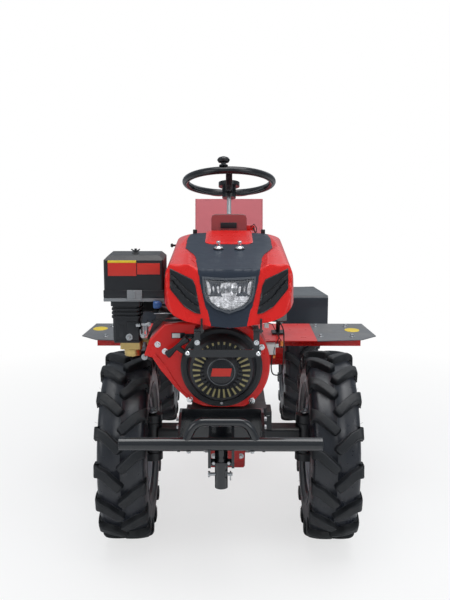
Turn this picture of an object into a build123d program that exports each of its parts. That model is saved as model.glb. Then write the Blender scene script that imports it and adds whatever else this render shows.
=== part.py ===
from build123d import *
import os
from math import cos, pi, radians, sin, tan

os.makedirs("parts", exist_ok=True)

# Driving dimensions, in millimetres. The machine faces -Y, +Z is up, and the driver's left is +X.
WHEELBASE = 1250
TRACK = 677
BUMPER_AHEAD = 450          # bumper tube's axis ahead of the front axle
BUMPER_TUBE_R = 19
HITCH_BEHIND = 380          # hitch tip behind the rear axle
LENGTH = BUMPER_TUBE_R + BUMPER_AHEAD + WHEELBASE + HITCH_BEHIND
Y_FRONT = -LENGTH / 2 + BUMPER_TUBE_R + BUMPER_AHEAD
Y_REAR = Y_FRONT + WHEELBASE
ENGINE_X = -22              # crankshaft, bumper and hood bracket stand beside the centre plane
FIT = 0.3                   # gap between pieces that sit in or on each other
PIN_GAP = 0.3               # radial gap round a turning pin

# Wheels
TYRE_R = 320
TREAD_R = 297
TYRE_SIDE_R = 232           # where the sidewall is widest
TYRE_WIDTH = 165
TREAD_HALF = 70
SIDEWALL_HALF = 79
RIM_SEAT_R = 152.4
RIM_FLANGE_R = 170
RIM_HALF = 57
RIM_WELL_R = 132
RIM_SHEET = 5
LUGS_PER_SIDE = 16
LUG_WIDTH = 28
LUG_LENGTH = 112
LUG_ANGLE = 43
LUG_CENTRE_GAP = -4         # lug's inner end crosses the tyre's middle by this much
WHEEL_X = TRACK / 2
DISC_OUTBOARD = 14          # wheel disc's inner face from the wheel's middle
DISC_SHEET = 8
HUB_R = 44
HUB_GAP = 3                 # running gap from the hub's inner face to the knuckle or trumpet
SPINDLE_R = 20
BOLT_CIRCLE_R = 72
WHEEL_BOLTS = 5
WHEEL_BOLT_R = 7

# Frame and axles
RAIL_HALF = 115
RAIL_FLANGE = 35
RAIL_HEIGHT = 90
RAIL_TOP = 535
RAIL_SHEET = 6
RAIL_FRONT = Y_FRONT - 300
RAIL_REAR = Y_REAR - 20
MOUNT_PLATE = 6
RAIL_BOTTOM = RAIL_TOP - RAIL_HEIGHT
RAIL_INSIDE = RAIL_HALF - RAIL_FLANGE
BEAM_HALF_HEIGHT = 38
BEAM_Z = 345
KINGPIN_X = 262
KINGPIN_R = 12
KINGPIN_BOSS_R = 32
BOSS_HALF_HEIGHT = 52
KNUCKLE_PLATE = 26
KNUCKLE_GAP = 2.5           # running gap above and below the kingpin boss
KNUCKLE_HALF = 33
WEB_IN = KINGPIN_X + KINGPIN_BOSS_R + 6
WEB_OUT = WEB_IN + 20       # knuckle's outer face, where the hub begins
ARM_LENGTH = 110            # steering arms and drop arm, pin to pin
TIE_PIN_R = 6
TIE_ROD_R = 10
TIE_EYE_R = 14
DROP_X = 50                 # drop arm's shaft
DROP_BEHIND = 150           # drop arm's shaft behind the front axle

# Steering
COLUMN_TILT = 17
WHEEL_RING_R = 164
WHEEL_GRIP_R = 13.5
STEER_Y = Y_FRONT + 440
STEER_Z = 1200
COLUMN_R = 16
SHAFT_R = 8

# Engine and hood
CRANK_Z = 674
SHROUD_FACE = Y_FRONT - 310
SHROUD_DEPTH = 100
SHROUD_TOP = 808
HOOD_NOSE_FOOT = (Y_FRONT - 410, 812)
HOOD_NOSE_TOP = (Y_FRONT - 360, 974)
HOOD_REAR = (Y_FRONT + 220, 1030)
HOOD_HALF = 190
HOOD_SHEET = 4
HOOD_SKIRT_Z = 872
HINGE_Y = Y_FRONT - 408     # hood's hinge pins, under its chin
HINGE_Z = 804
HINGE_PIN_R = 4
BRACKET_POST = 18           # width of the posts that carry the hinge pins
BRACKET_POST_X = (-100, 70)
TANK_FOOT = 836

# Body
FOOT_Z = 620
FOOT_SHEET = 3
FOOT_HALF = 563
DASH_TOP = 1089
SEAT_Z = 850
SEAT_TOP = 1105
SEAT_HALF = 155
SEAT_SHEET = 4
GUARD_INNER = 240
GUARD_OUTER = 436
GUARD_SHEET = 2.5


def front_plane(y):
    """Plane at world y that faces the front, with X to the right and Z up."""
    return Plane.XZ.offset(-y)


def side_plane(x):
    """Plane at world x that faces +X, with Y to the right and Z up."""
    return Plane.YZ.offset(x)


def bar(x, y, z):
    """Box between two limits on each axis, added to the part being built."""
    with Locations(((x[0] + x[1]) / 2, (y[0] + y[1]) / 2, (z[0] + z[1]) / 2)):
        Box(x[1] - x[0], y[1] - y[0], z[1] - z[0])


def post(x, y, z, radius, mode=Mode.ADD):
    """Upright cylinder between two heights."""
    with Locations((x, y, (z[0] + z[1]) / 2)):
        Cylinder(radius, z[1] - z[0], mode=mode)


def shaft_x(x, y, z, radius, mode=Mode.ADD):
    """Cylinder along X between two limits."""
    with Locations(((x[0] + x[1]) / 2, y, z)):
        Cylinder(radius, x[1] - x[0], rotation=(0, 90, 0), mode=mode)


def shaft_y(x, y, z, radius, mode=Mode.ADD):
    """Cylinder along Y between two limits."""
    with Locations((x, (y[0] + y[1]) / 2, z)):
        Cylinder(radius, y[1] - y[0], rotation=(90, 0, 0), mode=mode)


# Tyre, made about the Z axis with its outboard side up. One bar lug runs from the middle
# of the tread to the shoulder, and each side's ring of lugs is half a pitch from the other's.
lug_run = LUG_LENGTH * cos(radians(LUG_ANGLE))
lug_rise = LUG_LENGTH * sin(radians(LUG_ANGLE))
LUG_FOOT_R = TREAD_R - 32

with BuildPart() as lug:
    with BuildSketch(Plane.XZ.offset(LUG_FOOT_R)):
        with Locations(Location((0, LUG_CENTRE_GAP + lug_run / 2, 0), (0, 0, 90 + LUG_ANGLE))):
            SlotOverall(LUG_LENGTH, LUG_WIDTH)
        with Locations((-lug_rise / 2 + LUG_WIDTH / 3, LUG_CENTRE_GAP + lug_run)):
            Rectangle(LUG_WIDTH * 1.7, LUG_WIDTH)
    extrude(amount=TYRE_R - LUG_FOOT_R + 4)
    with BuildSketch(Plane.XZ):
        with BuildLine():
            Polyline((LUG_FOOT_R, LUG_CENTRE_GAP), (TYRE_R, LUG_CENTRE_GAP), (TYRE_R, TREAD_HALF - 15),
                     (TYRE_R - 9, TYRE_WIDTH / 2), (LUG_FOOT_R, TYRE_WIDTH / 2 - 4),
                     (LUG_FOOT_R, LUG_CENTRE_GAP))
        make_face()
    revolve(axis=Axis.Z, mode=Mode.INTERSECT)

with BuildPart() as tyre:
    with BuildSketch(Plane.XZ):
        with BuildLine():
            bead = RIM_SEAT_R + FIT
            flank = RIM_FLANGE_R + 2
            Polyline((bead, -RIM_HALF + FIT), (flank, -RIM_HALF + FIT), (TYRE_SIDE_R, -SIDEWALL_HALF),
                     (TREAD_R, -TREAD_HALF), (TREAD_R, TREAD_HALF), (TYRE_SIDE_R, SIDEWALL_HALF),
                     (flank, RIM_HALF - FIT), (bead, RIM_HALF - FIT), (bead, -RIM_HALF + FIT))
        make_face()
    revolve(axis=Axis.Z)
    with PolarLocations(0, LUGS_PER_SIDE):
        add(lug.part)
    with PolarLocations(0, LUGS_PER_SIDE, start_angle=180 / LUGS_PER_SIDE):
        add(lug.part.mirror(Plane.XY))

# Rim with its well, disc and hub, about the same axis.
with BuildPart() as rim:
    with BuildSketch(Plane.XZ):
        with BuildLine():
            well = RIM_HALF * 0.5
            lip = RIM_HALF + 4
            inner = RIM_SEAT_R - RIM_SHEET
            Polyline((RIM_FLANGE_R, -lip), (RIM_FLANGE_R, -RIM_HALF), (RIM_SEAT_R, -RIM_HALF),
                     (RIM_SEAT_R, -well - 6), (RIM_WELL_R, -well + 6), (RIM_WELL_R, well - 6),
                     (RIM_SEAT_R, well + 6), (RIM_SEAT_R, RIM_HALF), (RIM_FLANGE_R, RIM_HALF),
                     (RIM_FLANGE_R, lip), (inner, lip), (inner, well + 4),
                     (RIM_WELL_R - RIM_SHEET, well - 8), (RIM_WELL_R - RIM_SHEET, -well + 8),
                     (inner, -well - 4), (inner, -lip), (RIM_FLANGE_R, -lip))
        make_face()
    revolve(axis=Axis.Z)
    with BuildSketch(Plane.XZ):
        with BuildLine():
            dish = 12
            hub_foot = WEB_OUT + HUB_GAP - WHEEL_X
            rim_in = RIM_WELL_R - RIM_SHEET
            Polyline((SPINDLE_R + PIN_GAP, hub_foot), (HUB_R, hub_foot), (HUB_R + 4, DISC_OUTBOARD - 6),
                     (HUB_R + 12, DISC_OUTBOARD), (BOLT_CIRCLE_R + 14, DISC_OUTBOARD),
                     (BOLT_CIRCLE_R + 26, DISC_OUTBOARD - dish), (rim_in, DISC_OUTBOARD - dish),
                     (rim_in, DISC_OUTBOARD - dish + DISC_SHEET),
                     (BOLT_CIRCLE_R + 29, DISC_OUTBOARD - dish + DISC_SHEET),
                     (BOLT_CIRCLE_R + 17, DISC_OUTBOARD + DISC_SHEET), (HUB_R, DISC_OUTBOARD + DISC_SHEET),
                     (HUB_R - 4, DISC_OUTBOARD + 26), (SPINDLE_R + PIN_GAP, DISC_OUTBOARD + 26),
                     (SPINDLE_R + PIN_GAP, hub_foot))
        make_face()
    revolve(axis=Axis.Z)
    with Locations((0, 0, DISC_OUTBOARD)):
        with PolarLocations(BOLT_CIRCLE_R, WHEEL_BOLTS):
            Cylinder(WHEEL_BOLT_R, DISC_SHEET * 3, mode=Mode.SUBTRACT)

SPIN_UP = Location((0, 0, 0), (0, 90, 0))
for end, y in (("front", Y_FRONT), ("rear", Y_REAR)):
    place = Location((WHEEL_X, y, TYRE_R)) * SPIN_UP
    for name, piece in (("tyre", tyre.part), ("rim", rim.part)):
        left = piece.moved(place)
        left.label = f"{end}_left_{name}"
        export_step(left, f"parts/{end}_left_{name}.step")
        right = left.mirror(Plane.YZ)
        right.label = f"{end}_right_{name}"
        export_step(right, f"parts/{end}_right_{name}.step")

# Frame: two channels that open inwards, joined by cross plates.
with BuildPart() as frame_rails:
    with BuildSketch(front_plane(RAIL_REAR)):
        with BuildLine():
            rail_in = RAIL_HALF - RAIL_SHEET
            low = RAIL_BOTTOM + RAIL_SHEET
            high = RAIL_TOP - RAIL_SHEET
            Polyline((RAIL_INSIDE, RAIL_BOTTOM), (RAIL_HALF, RAIL_BOTTOM), (RAIL_HALF, RAIL_TOP),
                     (RAIL_INSIDE, RAIL_TOP), (RAIL_INSIDE, high), (rail_in, high), (rail_in, low),
                     (RAIL_INSIDE, low), (RAIL_INSIDE, RAIL_BOTTOM))
        make_face()
        mirror(about=Plane.YZ)
    extrude(amount=RAIL_REAR - RAIL_FRONT)
    for y in (RAIL_FRONT, Y_FRONT - 60, Y_REAR - 200):
        bar((-RAIL_HALF, RAIL_HALF), (y, y + 60), (RAIL_TOP, RAIL_TOP + MOUNT_PLATE))
    bar((-RAIL_HALF + 2, RAIL_HALF - 2), (RAIL_FRONT - 6, RAIL_FRONT), (RAIL_BOTTOM, RAIL_TOP + MOUNT_PLATE))
    bar((-RAIL_INSIDE - 10, RAIL_INSIDE + 10), (RAIL_REAR - 60, RAIL_REAR - 54), (low, high))
frame_rails.part.label = "frame_rails"
export_step(frame_rails.part, "parts/frame_rails.step")

# Bumper: a straight tube with a lower arch tube standing on it.
BUMPER_Y = Y_FRONT - BUMPER_AHEAD
BUMPER_Z = 479
BUMPER_LEFT = ENGINE_X + 292
BUMPER_RIGHT = ENGINE_X - 295
ARCH_HALF = 105
ARCH_RISE = 66
ARCH_R = 12.5
with BuildPart() as front_bumper:
    shaft_x((BUMPER_RIGHT, BUMPER_LEFT), BUMPER_Y, BUMPER_Z, BUMPER_TUBE_R)
    with BuildLine(front_plane(BUMPER_Y)) as arch:
        FilletPolyline((ENGINE_X - ARCH_HALF, BUMPER_Z), (ENGINE_X - ARCH_HALF * 0.72, BUMPER_Z + ARCH_RISE),
                       (ENGINE_X + ARCH_HALF * 0.72, BUMPER_Z + ARCH_RISE), (ENGINE_X + ARCH_HALF, BUMPER_Z),
                       radius=42)
    with BuildSketch(Plane(origin=arch.line @ 0, z_dir=arch.line % 0)):
        Circle(ARCH_R)
    sweep(path=arch.line)
front_bumper.part.label = "front_bumper"
export_step(front_bumper.part, "parts/front_bumper.step")

# Bumper legs: two plates from the frame's front end down to the tube.
LEG_SHEET = 8
LEG_SPREAD = 119
with BuildPart() as bumper_legs:
    for x in (ENGINE_X - LEG_SPREAD - LEG_SHEET, ENGINE_X + LEG_SPREAD):
        with BuildSketch(side_plane(x)):
            with BuildLine():
                leg_rear = RAIL_FRONT - 6 - FIT
                Polyline((leg_rear, RAIL_TOP + MOUNT_PLATE), (leg_rear - 40, RAIL_TOP + MOUNT_PLATE),
                         (BUMPER_Y - 6, BUMPER_Z + 12), (BUMPER_Y - 6, BUMPER_Z - 22),
                         (leg_rear - 40, BUMPER_Z - 30), (leg_rear, BUMPER_Z - 30),
                         (leg_rear, RAIL_TOP + MOUNT_PLATE))
            make_face()
        extrude(amount=LEG_SHEET)
    bar((ENGINE_X - LEG_SPREAD, ENGINE_X + LEG_SPREAD), (leg_rear - 6, leg_rear),
        (BUMPER_Z - 30, RAIL_TOP + MOUNT_PLATE))
    shaft_x((ENGINE_X - LEG_SPREAD - 20, ENGINE_X + LEG_SPREAD + 20), BUMPER_Y, BUMPER_Z,
            BUMPER_TUBE_R + FIT, mode=Mode.SUBTRACT)
bumper_legs.part.label = "bumper_legs"
export_step(bumper_legs.part, "parts/bumper_legs.step")

# Front hitch: an upright receiver tube hung under the bumper between two straps.
SOCKET_R = 19
SOCKET_BORE_R = 13
SOCKET_Y = BUMPER_Y + 26
SOCKET_FOOT = 337
SOCKET_TOP = BUMPER_Z - BUMPER_TUBE_R - FIT - 2
STRAP = 8
PIN_Z = SOCKET_FOOT + 40
PIN_R = 5
with BuildPart() as hitch_socket:
    post(ENGINE_X, SOCKET_Y, (SOCKET_FOOT, SOCKET_TOP), SOCKET_R)
    for side in (-1, 1):
        with BuildSketch(side_plane(ENGINE_X + side * 34 - STRAP / 2)):
            with BuildLine():
                Polyline((BUMPER_Y - 15, BUMPER_Z - 4), (BUMPER_Y - 15, SOCKET_FOOT + 74),
                         (SOCKET_Y + 16, SOCKET_FOOT + 74),
                         (leg_rear - 6 - FIT, BUMPER_Z - 28), (leg_rear - 6 - FIT, BUMPER_Z + 14),
                         (BUMPER_Y - 15, BUMPER_Z - 4))
            make_face()
        extrude(amount=STRAP)
    bar((ENGINE_X - 38, ENGINE_X + 38), (SOCKET_Y - 22, SOCKET_Y + 16), (SOCKET_FOOT + 74, SOCKET_FOOT + 82))
    post(ENGINE_X, SOCKET_Y, (SOCKET_FOOT, SOCKET_TOP - 20), SOCKET_BORE_R, mode=Mode.SUBTRACT)
    shaft_x((ENGINE_X - SOCKET_R - 1, ENGINE_X + SOCKET_R + 1), SOCKET_Y, PIN_Z, PIN_R + PIN_GAP,
            mode=Mode.SUBTRACT)
    shaft_x((ENGINE_X - 60, ENGINE_X + 60), BUMPER_Y, BUMPER_Z, BUMPER_TUBE_R + FIT, mode=Mode.SUBTRACT)
hitch_socket.part.label = "hitch_socket"
export_step(hitch_socket.part, "parts/hitch_socket.step")

# Spring pins that lock a bar in the receiver, both drawn back clear of its bore.
PIN_END = SOCKET_BORE_R + 1
PIN_OUT = 33
with BuildPart() as hitch_pin:
    shaft_x((ENGINE_X - PIN_OUT, ENGINE_X - PIN_END), SOCKET_Y, PIN_Z, PIN_R)
    shaft_x((ENGINE_X - PIN_OUT - 6, ENGINE_X - PIN_OUT), SOCKET_Y, PIN_Z, PIN_R + 4)
    shaft_x((ENGINE_X + PIN_END, ENGINE_X + PIN_OUT), SOCKET_Y, PIN_Z, PIN_R)
    with Locations(Location((ENGINE_X + PIN_OUT - 6, SOCKET_Y - 12, PIN_Z), (0, 90, 0))):
        Torus(12, 2)
hitch_pin.part.label = "hitch_pin"
export_step(hitch_pin.part, "parts/hitch_pin.step")

# Front drive casing in the middle of the axle, with stepped hubs to each side.
CASE_RIGHT = ENGINE_X - 43
CASE_LEFT = ENGINE_X + 77
CASE_FOOT = 240
CASE_TOP = 430
HUB_STEP = 17
with BuildPart() as front_gearbox:
    with BuildSketch(side_plane(CASE_RIGHT)):
        with BuildLine():
            case_front = Y_FRONT - 62
            case_rear = Y_FRONT + 66
            Polyline((case_front, CASE_FOOT + 40), (case_front + 34, CASE_FOOT), (case_rear - 30, CASE_FOOT),
                     (case_rear, CASE_FOOT + 30), (case_rear, CASE_TOP - 26), (case_rear - 28, CASE_TOP),
                     (case_front + 30, CASE_TOP), (case_front, CASE_TOP - 34), (case_front, CASE_FOOT + 40))
        make_face()
    extrude(amount=CASE_LEFT - CASE_RIGHT)
    fillet(front_gearbox.edges().filter_by(Axis.X), 14)
    chamfer(front_gearbox.faces().sort_by(Axis.Y)[0].edges(), 5)
    for radius, reach in ((56, HUB_STEP), (46, 2 * HUB_STEP)):
        shaft_x((CASE_RIGHT - reach, CASE_LEFT + reach), Y_FRONT, BEAM_Z, radius)
front_gearbox.part.label = "front_gearbox"
export_step(front_gearbox.part, "parts/front_gearbox.step")

# Front axle: a square arm from each side of the casing to a kingpin boss, with a saddle under the rail.
SADDLE = 30
with BuildPart() as front_axle_beam:
    for side, start in ((1, CASE_LEFT + 2 * HUB_STEP + FIT), (-1, -(CASE_RIGHT - 2 * HUB_STEP - FIT))):
        with BuildSketch(side_plane(side * start)):
            with Locations((Y_FRONT, BEAM_Z)):
                RectangleRounded(2 * BEAM_HALF_HEIGHT, 2 * BEAM_HALF_HEIGHT, 10)
        extrude(amount=side * (KINGPIN_X - 22 - start))
        post(side * KINGPIN_X, Y_FRONT, (BEAM_Z - BOSS_HALF_HEIGHT, BEAM_Z + BOSS_HALF_HEIGHT), KINGPIN_BOSS_R)
        saddle = sorted((side * RAIL_HALF, side * (RAIL_HALF + SADDLE)))
        bar(saddle, (Y_FRONT - 44, Y_FRONT + 44), (BEAM_Z + BEAM_HALF_HEIGHT - 1, RAIL_BOTTOM - 12))
        foot = sorted((side * (RAIL_INSIDE - 12), side * (RAIL_HALF + SADDLE)))
        bar(foot, (Y_FRONT - 44, Y_FRONT + 44), (RAIL_BOTTOM - 12, RAIL_BOTTOM - FIT))
        post(side * KINGPIN_X, Y_FRONT, (BEAM_Z - 80, BEAM_Z + 80), KINGPIN_R + PIN_GAP, mode=Mode.SUBTRACT)
front_axle_beam.part.label = "front_axle_beam"
export_step(front_axle_beam.part, "parts/front_axle_beam.step")

# Steering knuckle: a fork about the kingpin boss, the wheel's spindle, and an arm to the rear.
FORK_LOW = BEAM_Z - BOSS_HALF_HEIGHT - KNUCKLE_GAP
FORK_HIGH = BEAM_Z + BOSS_HALF_HEIGHT + KNUCKLE_GAP
ARM_HIGH = FORK_LOW
ARM_LOW = FORK_LOW - 20
SPINDLE_END = WHEEL_X + DISC_OUTBOARD + 22
with BuildPart() as left_knuckle:
    for low_z, high_z in ((FORK_LOW - KNUCKLE_PLATE, FORK_LOW), (FORK_HIGH, FORK_HIGH + KNUCKLE_PLATE)):
        post(KINGPIN_X, Y_FRONT, (low_z, high_z), KNUCKLE_HALF)
        bar((KINGPIN_X, WEB_OUT), (Y_FRONT - KNUCKLE_HALF, Y_FRONT + KNUCKLE_HALF), (low_z, high_z))
    bar((WEB_IN, WEB_OUT), (Y_FRONT - KNUCKLE_HALF, Y_FRONT + KNUCKLE_HALF),
        (FORK_LOW - KNUCKLE_PLATE, FORK_HIGH + KNUCKLE_PLATE))
    fillet(left_knuckle.edges().filter_by(Axis.Y).group_by(Axis.X)[-1], 9)
    post(KINGPIN_X, Y_FRONT, (FORK_LOW - KNUCKLE_PLATE - 6, FORK_HIGH + KNUCKLE_PLATE + 6), KINGPIN_R)
    shaft_x((WEB_OUT - 1, SPINDLE_END), Y_FRONT, TYRE_R, SPINDLE_R)
    with BuildSketch(Plane.XY.offset(ARM_LOW)):
        with Locations((KINGPIN_X, Y_FRONT + ARM_LENGTH)):
            Circle(TIE_EYE_R)
        with Locations((KINGPIN_X, Y_FRONT + ARM_LENGTH / 2)):
            Rectangle(2 * TIE_EYE_R - 6, ARM_LENGTH)
    extrude(amount=ARM_HIGH - ARM_LOW)
    post(KINGPIN_X, Y_FRONT + ARM_LENGTH, (ARM_LOW, ARM_HIGH), TIE_PIN_R + PIN_GAP, mode=Mode.SUBTRACT)
left_knuckle.part.label = "left_knuckle"
export_step(left_knuckle.part, "parts/left_knuckle.step")
right_knuckle = left_knuckle.part.mirror(Plane.YZ)
right_knuckle.label = "right_knuckle"
export_step(right_knuckle, "parts/right_knuckle.step")

# Tie rod below the arms, with a lug to the rear that the drop arm's pin holds.
TIE_Z = ARM_LOW - 12
TIE_EYE = 14
TIE_Y = Y_FRONT + ARM_LENGTH
DROP_Y = Y_FRONT + DROP_BEHIND
with BuildPart() as tie_rod:
    shaft_x((-KINGPIN_X + 4, KINGPIN_X - 4), TIE_Y, TIE_Z, TIE_ROD_R)
    for x, y in ((KINGPIN_X, TIE_Y), (-KINGPIN_X, TIE_Y), (DROP_X, DROP_Y + ARM_LENGTH)):
        post(x, y, (TIE_Z - TIE_EYE / 2, TIE_Z + TIE_EYE / 2), TIE_EYE_R)
        post(x, y, (TIE_Z, ARM_HIGH + 8), TIE_PIN_R)
    bar((DROP_X - 9, DROP_X + 9), (TIE_Y, DROP_Y + ARM_LENGTH), (TIE_Z - 6, TIE_Z + 6))
tie_rod.part.label = "tie_rod"
export_step(tie_rod.part, "parts/tie_rod.step")

# Drop arm on the steering box's output shaft.
BOX_FOOT = RAIL_BOTTOM + 8
DROP_SHAFT_R = 12
with BuildPart() as drop_arm:
    with BuildSketch(Plane.XY.offset(ARM_LOW)):
        for y in (DROP_Y, DROP_Y + ARM_LENGTH):
            with Locations((DROP_X, y)):
                Circle(TIE_EYE_R + 4)
        with Locations((DROP_X, DROP_Y + ARM_LENGTH / 2)):
            Rectangle(2 * TIE_EYE_R - 4, ARM_LENGTH)
    extrude(amount=ARM_HIGH - ARM_LOW)
    post(DROP_X, DROP_Y + ARM_LENGTH, (ARM_LOW, ARM_HIGH), TIE_PIN_R + PIN_GAP, mode=Mode.SUBTRACT)
    post(DROP_X, DROP_Y, (ARM_LOW + 2, BOX_FOOT + 30), DROP_SHAFT_R)
drop_arm.part.label = "drop_arm"
export_step(drop_arm.part, "parts/drop_arm.step")

# Steering box between the rails, and the column that rises from it to the steering wheel.
BOX_FRONT = DROP_Y - 40
BOX_REAR = DROP_Y + 120
BOX_RIGHT = -22
COLUMN = Plane(origin=(0, STEER_Y, STEER_Z), x_dir=(1, 0, 0),
               z_dir=(0, sin(radians(COLUMN_TILT)), cos(radians(COLUMN_TILT))))
COLUMN_FOOT = -(STEER_Z - RAIL_TOP - 16) / cos(radians(COLUMN_TILT))
with BuildPart() as steering_box:
    bar((BOX_RIGHT, RAIL_INSIDE - FIT), (BOX_FRONT, BOX_REAR), (BOX_FOOT, RAIL_TOP))
    chamfer(steering_box.edges().filter_by(Axis.Z), 8)
    with Locations(COLUMN.offset(COLUMN_FOOT - 30)):
        Cylinder(COLUMN_R + 9, 60)
    post(DROP_X, DROP_Y, (BOX_FOOT - 8, BOX_FOOT + 34), DROP_SHAFT_R + PIN_GAP, mode=Mode.SUBTRACT)
steering_box.part.label = "steering_box"
export_step(steering_box.part, "parts/steering_box.step")

HUB_DROP = 62               # steering wheel's hub below the rim's plane


def column_section(turn, out=0):
    """Plane through the column's axis: x runs outwards at this turn, y up along the column."""
    outward = COLUMN.x_dir * cos(radians(turn)) + COLUMN.y_dir * sin(radians(turn))
    return Plane(origin=COLUMN.origin + outward * out, x_dir=outward, z_dir=outward.cross(COLUMN.z_dir))


with BuildPart() as steering_column:
    with BuildSketch(COLUMN.offset(COLUMN_FOOT + FIT)):
        Circle(COLUMN_R)
    extrude(amount=-COLUMN_FOOT - HUB_DROP - 75)
    with BuildSketch(COLUMN.offset(-HUB_DROP - 76)):
        Circle(SHAFT_R)
    extrude(amount=76 + 30)
steering_column.part.label = "steering_column"
export_step(steering_column.part, "parts/steering_column.step")

# Steering wheel: a round rim, three dished spokes and a hub cap.
with BuildPart() as steering_wheel:
    with Locations(COLUMN):
        Torus(WHEEL_RING_R, WHEEL_GRIP_R)
    with Locations(COLUMN.offset(-HUB_DROP)):
        Cylinder(26, 44, align=(Align.CENTER, Align.CENTER, Align.MIN))
    with Locations(COLUMN.offset(-HUB_DROP + 44)):
        Cylinder(40, 16, align=(Align.CENTER, Align.CENTER, Align.MIN))
    for turn in (-90, 30, 150):
        spoke = column_section(turn)
        with BuildLine(spoke) as spoke_line:
            Spline((SHAFT_R + 12, -HUB_DROP + 18), (WHEEL_RING_R * 0.45, -HUB_DROP + 24),
                   (WHEEL_RING_R * 0.75, -HUB_DROP * 0.32), (WHEEL_RING_R - 4, -3))
        with BuildSketch(Plane(origin=spoke_line.line @ 0, x_dir=spoke.z_dir, z_dir=spoke_line.line % 0)):
            RectangleRounded(24, 9, 3)
        sweep(path=spoke_line.line)
    with Locations(COLUMN.offset(-HUB_DROP)):
        Cylinder(SHAFT_R + PIN_GAP, 42, align=(Align.CENTER, Align.CENTER, Align.MIN), mode=Mode.SUBTRACT)
steering_wheel.part.label = "steering_wheel"
export_step(steering_wheel.part, "parts/steering_wheel.step")

# Spinner knob clamped on the front of the rim.
KNOB_TURN = -97
knob_place = column_section(KNOB_TURN, WHEEL_RING_R)
with BuildPart() as spinner_knob:
    with BuildSketch(knob_place):
        with BuildLine():
            foot = WHEEL_GRIP_R + FIT
            Polyline((0, foot), (16, foot), (16, foot + 5), (9, foot + 7), (9, foot + 13), (19, foot + 16),
                     (23.5, foot + 24), (19, foot + 31), (8, foot + 36), (0, foot + 36), (0, foot))
        make_face()
    revolve(axis=Axis(knob_place.origin, COLUMN.z_dir))
    fillet(spinner_knob.edges().filter_by(GeomType.CIRCLE).group_by(SortBy.RADIUS)[-1], 3)
spinner_knob.part.label = "spinner_knob"
export_step(spinner_knob.part, "parts/spinner_knob.step")

# Main gearbox between the rails.
GEARBOX_FRONT = Y_FRONT + 480
GEARBOX_REAR = Y_FRONT + 800
GEARBOX_FOOT = 270
GEARBOX_TOP = RAIL_TOP + 14
SHAFT_Z = 340
INPUT_X = -40
INPUT_Z = 492
with BuildPart() as main_gearbox:
    with BuildSketch(side_plane(-RAIL_INSIDE + FIT)):
        with BuildLine():
            Polyline((GEARBOX_FRONT, GEARBOX_FOOT + 20), (GEARBOX_REAR - 60, GEARBOX_FOOT),
                     (GEARBOX_REAR, GEARBOX_FOOT + 30), (GEARBOX_REAR, RAIL_TOP - 30),
                     (GEARBOX_REAR - 40, GEARBOX_TOP), (GEARBOX_FRONT + 60, GEARBOX_TOP),
                     (GEARBOX_FRONT, RAIL_TOP - 40), (GEARBOX_FRONT, GEARBOX_FOOT + 20))
        make_face()
    extrude(amount=2 * (RAIL_INSIDE - FIT))
    fillet(main_gearbox.edges().filter_by(Axis.X), 16)
    shaft_y(-5, (GEARBOX_FRONT - 14, GEARBOX_REAR + 14), SHAFT_Z, 42)
    shaft_y(INPUT_X, (GEARBOX_FRONT - 14, GEARBOX_FRONT + 20), INPUT_Z, 28)
main_gearbox.part.label = "main_gearbox"
export_step(main_gearbox.part, "parts/main_gearbox.step")

CASING_R = 92

# Rear axle: the drive casing with a trumpet and spindle to each wheel.
with BuildPart() as rear_axle:
    with BuildSketch(side_plane(-82)):
        with Locations((Y_REAR, TYRE_R)):
            Circle(CASING_R)
        with Locations((Y_REAR - 20, (TYRE_R + RAIL_BOTTOM - FIT) / 2)):
            RectangleRounded(150, RAIL_BOTTOM - FIT - TYRE_R, 14)
    extrude(amount=164)
    bar((-RAIL_HALF, RAIL_HALF), (Y_REAR - 100, RAIL_REAR), (RAIL_BOTTOM - 12, RAIL_BOTTOM - FIT))
    shaft_y(-5, (Y_REAR - 140, Y_REAR), SHAFT_Z, 38)
    with BuildSketch(Plane(origin=(0, Y_REAR, TYRE_R), x_dir=(1, 0, 0), z_dir=(0, 0, 1))):
        with BuildLine():
            hub_face = WEB_OUT
            Polyline((60, 0), (60, 74), (96, 74), (104, 50), (hub_face - 26, 40), (hub_face - 20, 46),
                     (hub_face, 46), (hub_face, SPINDLE_R), (SPINDLE_END, SPINDLE_R), (SPINDLE_END, 0),
                     (60, 0))
        make_face()
        mirror(about=Plane.YZ)
    revolve(axis=Axis((0, Y_REAR, TYRE_R), (1, 0, 0)))
rear_axle.part.label = "rear_axle"
export_step(rear_axle.part, "parts/rear_axle.step")

# Drive shafts: one from the belt drive to the gearbox, one along the bottom to both axles.
BELT_FRONT = Y_FRONT + 36
BELT_DEPTH = 56
with BuildPart() as drive_shafts:
    for start, stop, x, z, radius in ((case_rear, GEARBOX_FRONT - 14, -5, SHAFT_Z, 15),
                                      (GEARBOX_REAR + 14, Y_REAR - 140, -5, SHAFT_Z, 15),
                                      (BELT_FRONT + BELT_DEPTH, GEARBOX_FRONT - 14, INPUT_X, INPUT_Z, 11)):
        shaft_y(x, (start + FIT, stop - FIT), z, radius)
        shaft_y(x, (start + FIT, start + 26), z, radius + 5)
        shaft_y(x, (stop - 26, stop - FIT), z, radius + 5)
drive_shafts.part.label = "drive_shafts"
export_step(drive_shafts.part, "parts/drive_shafts.step")

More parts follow.
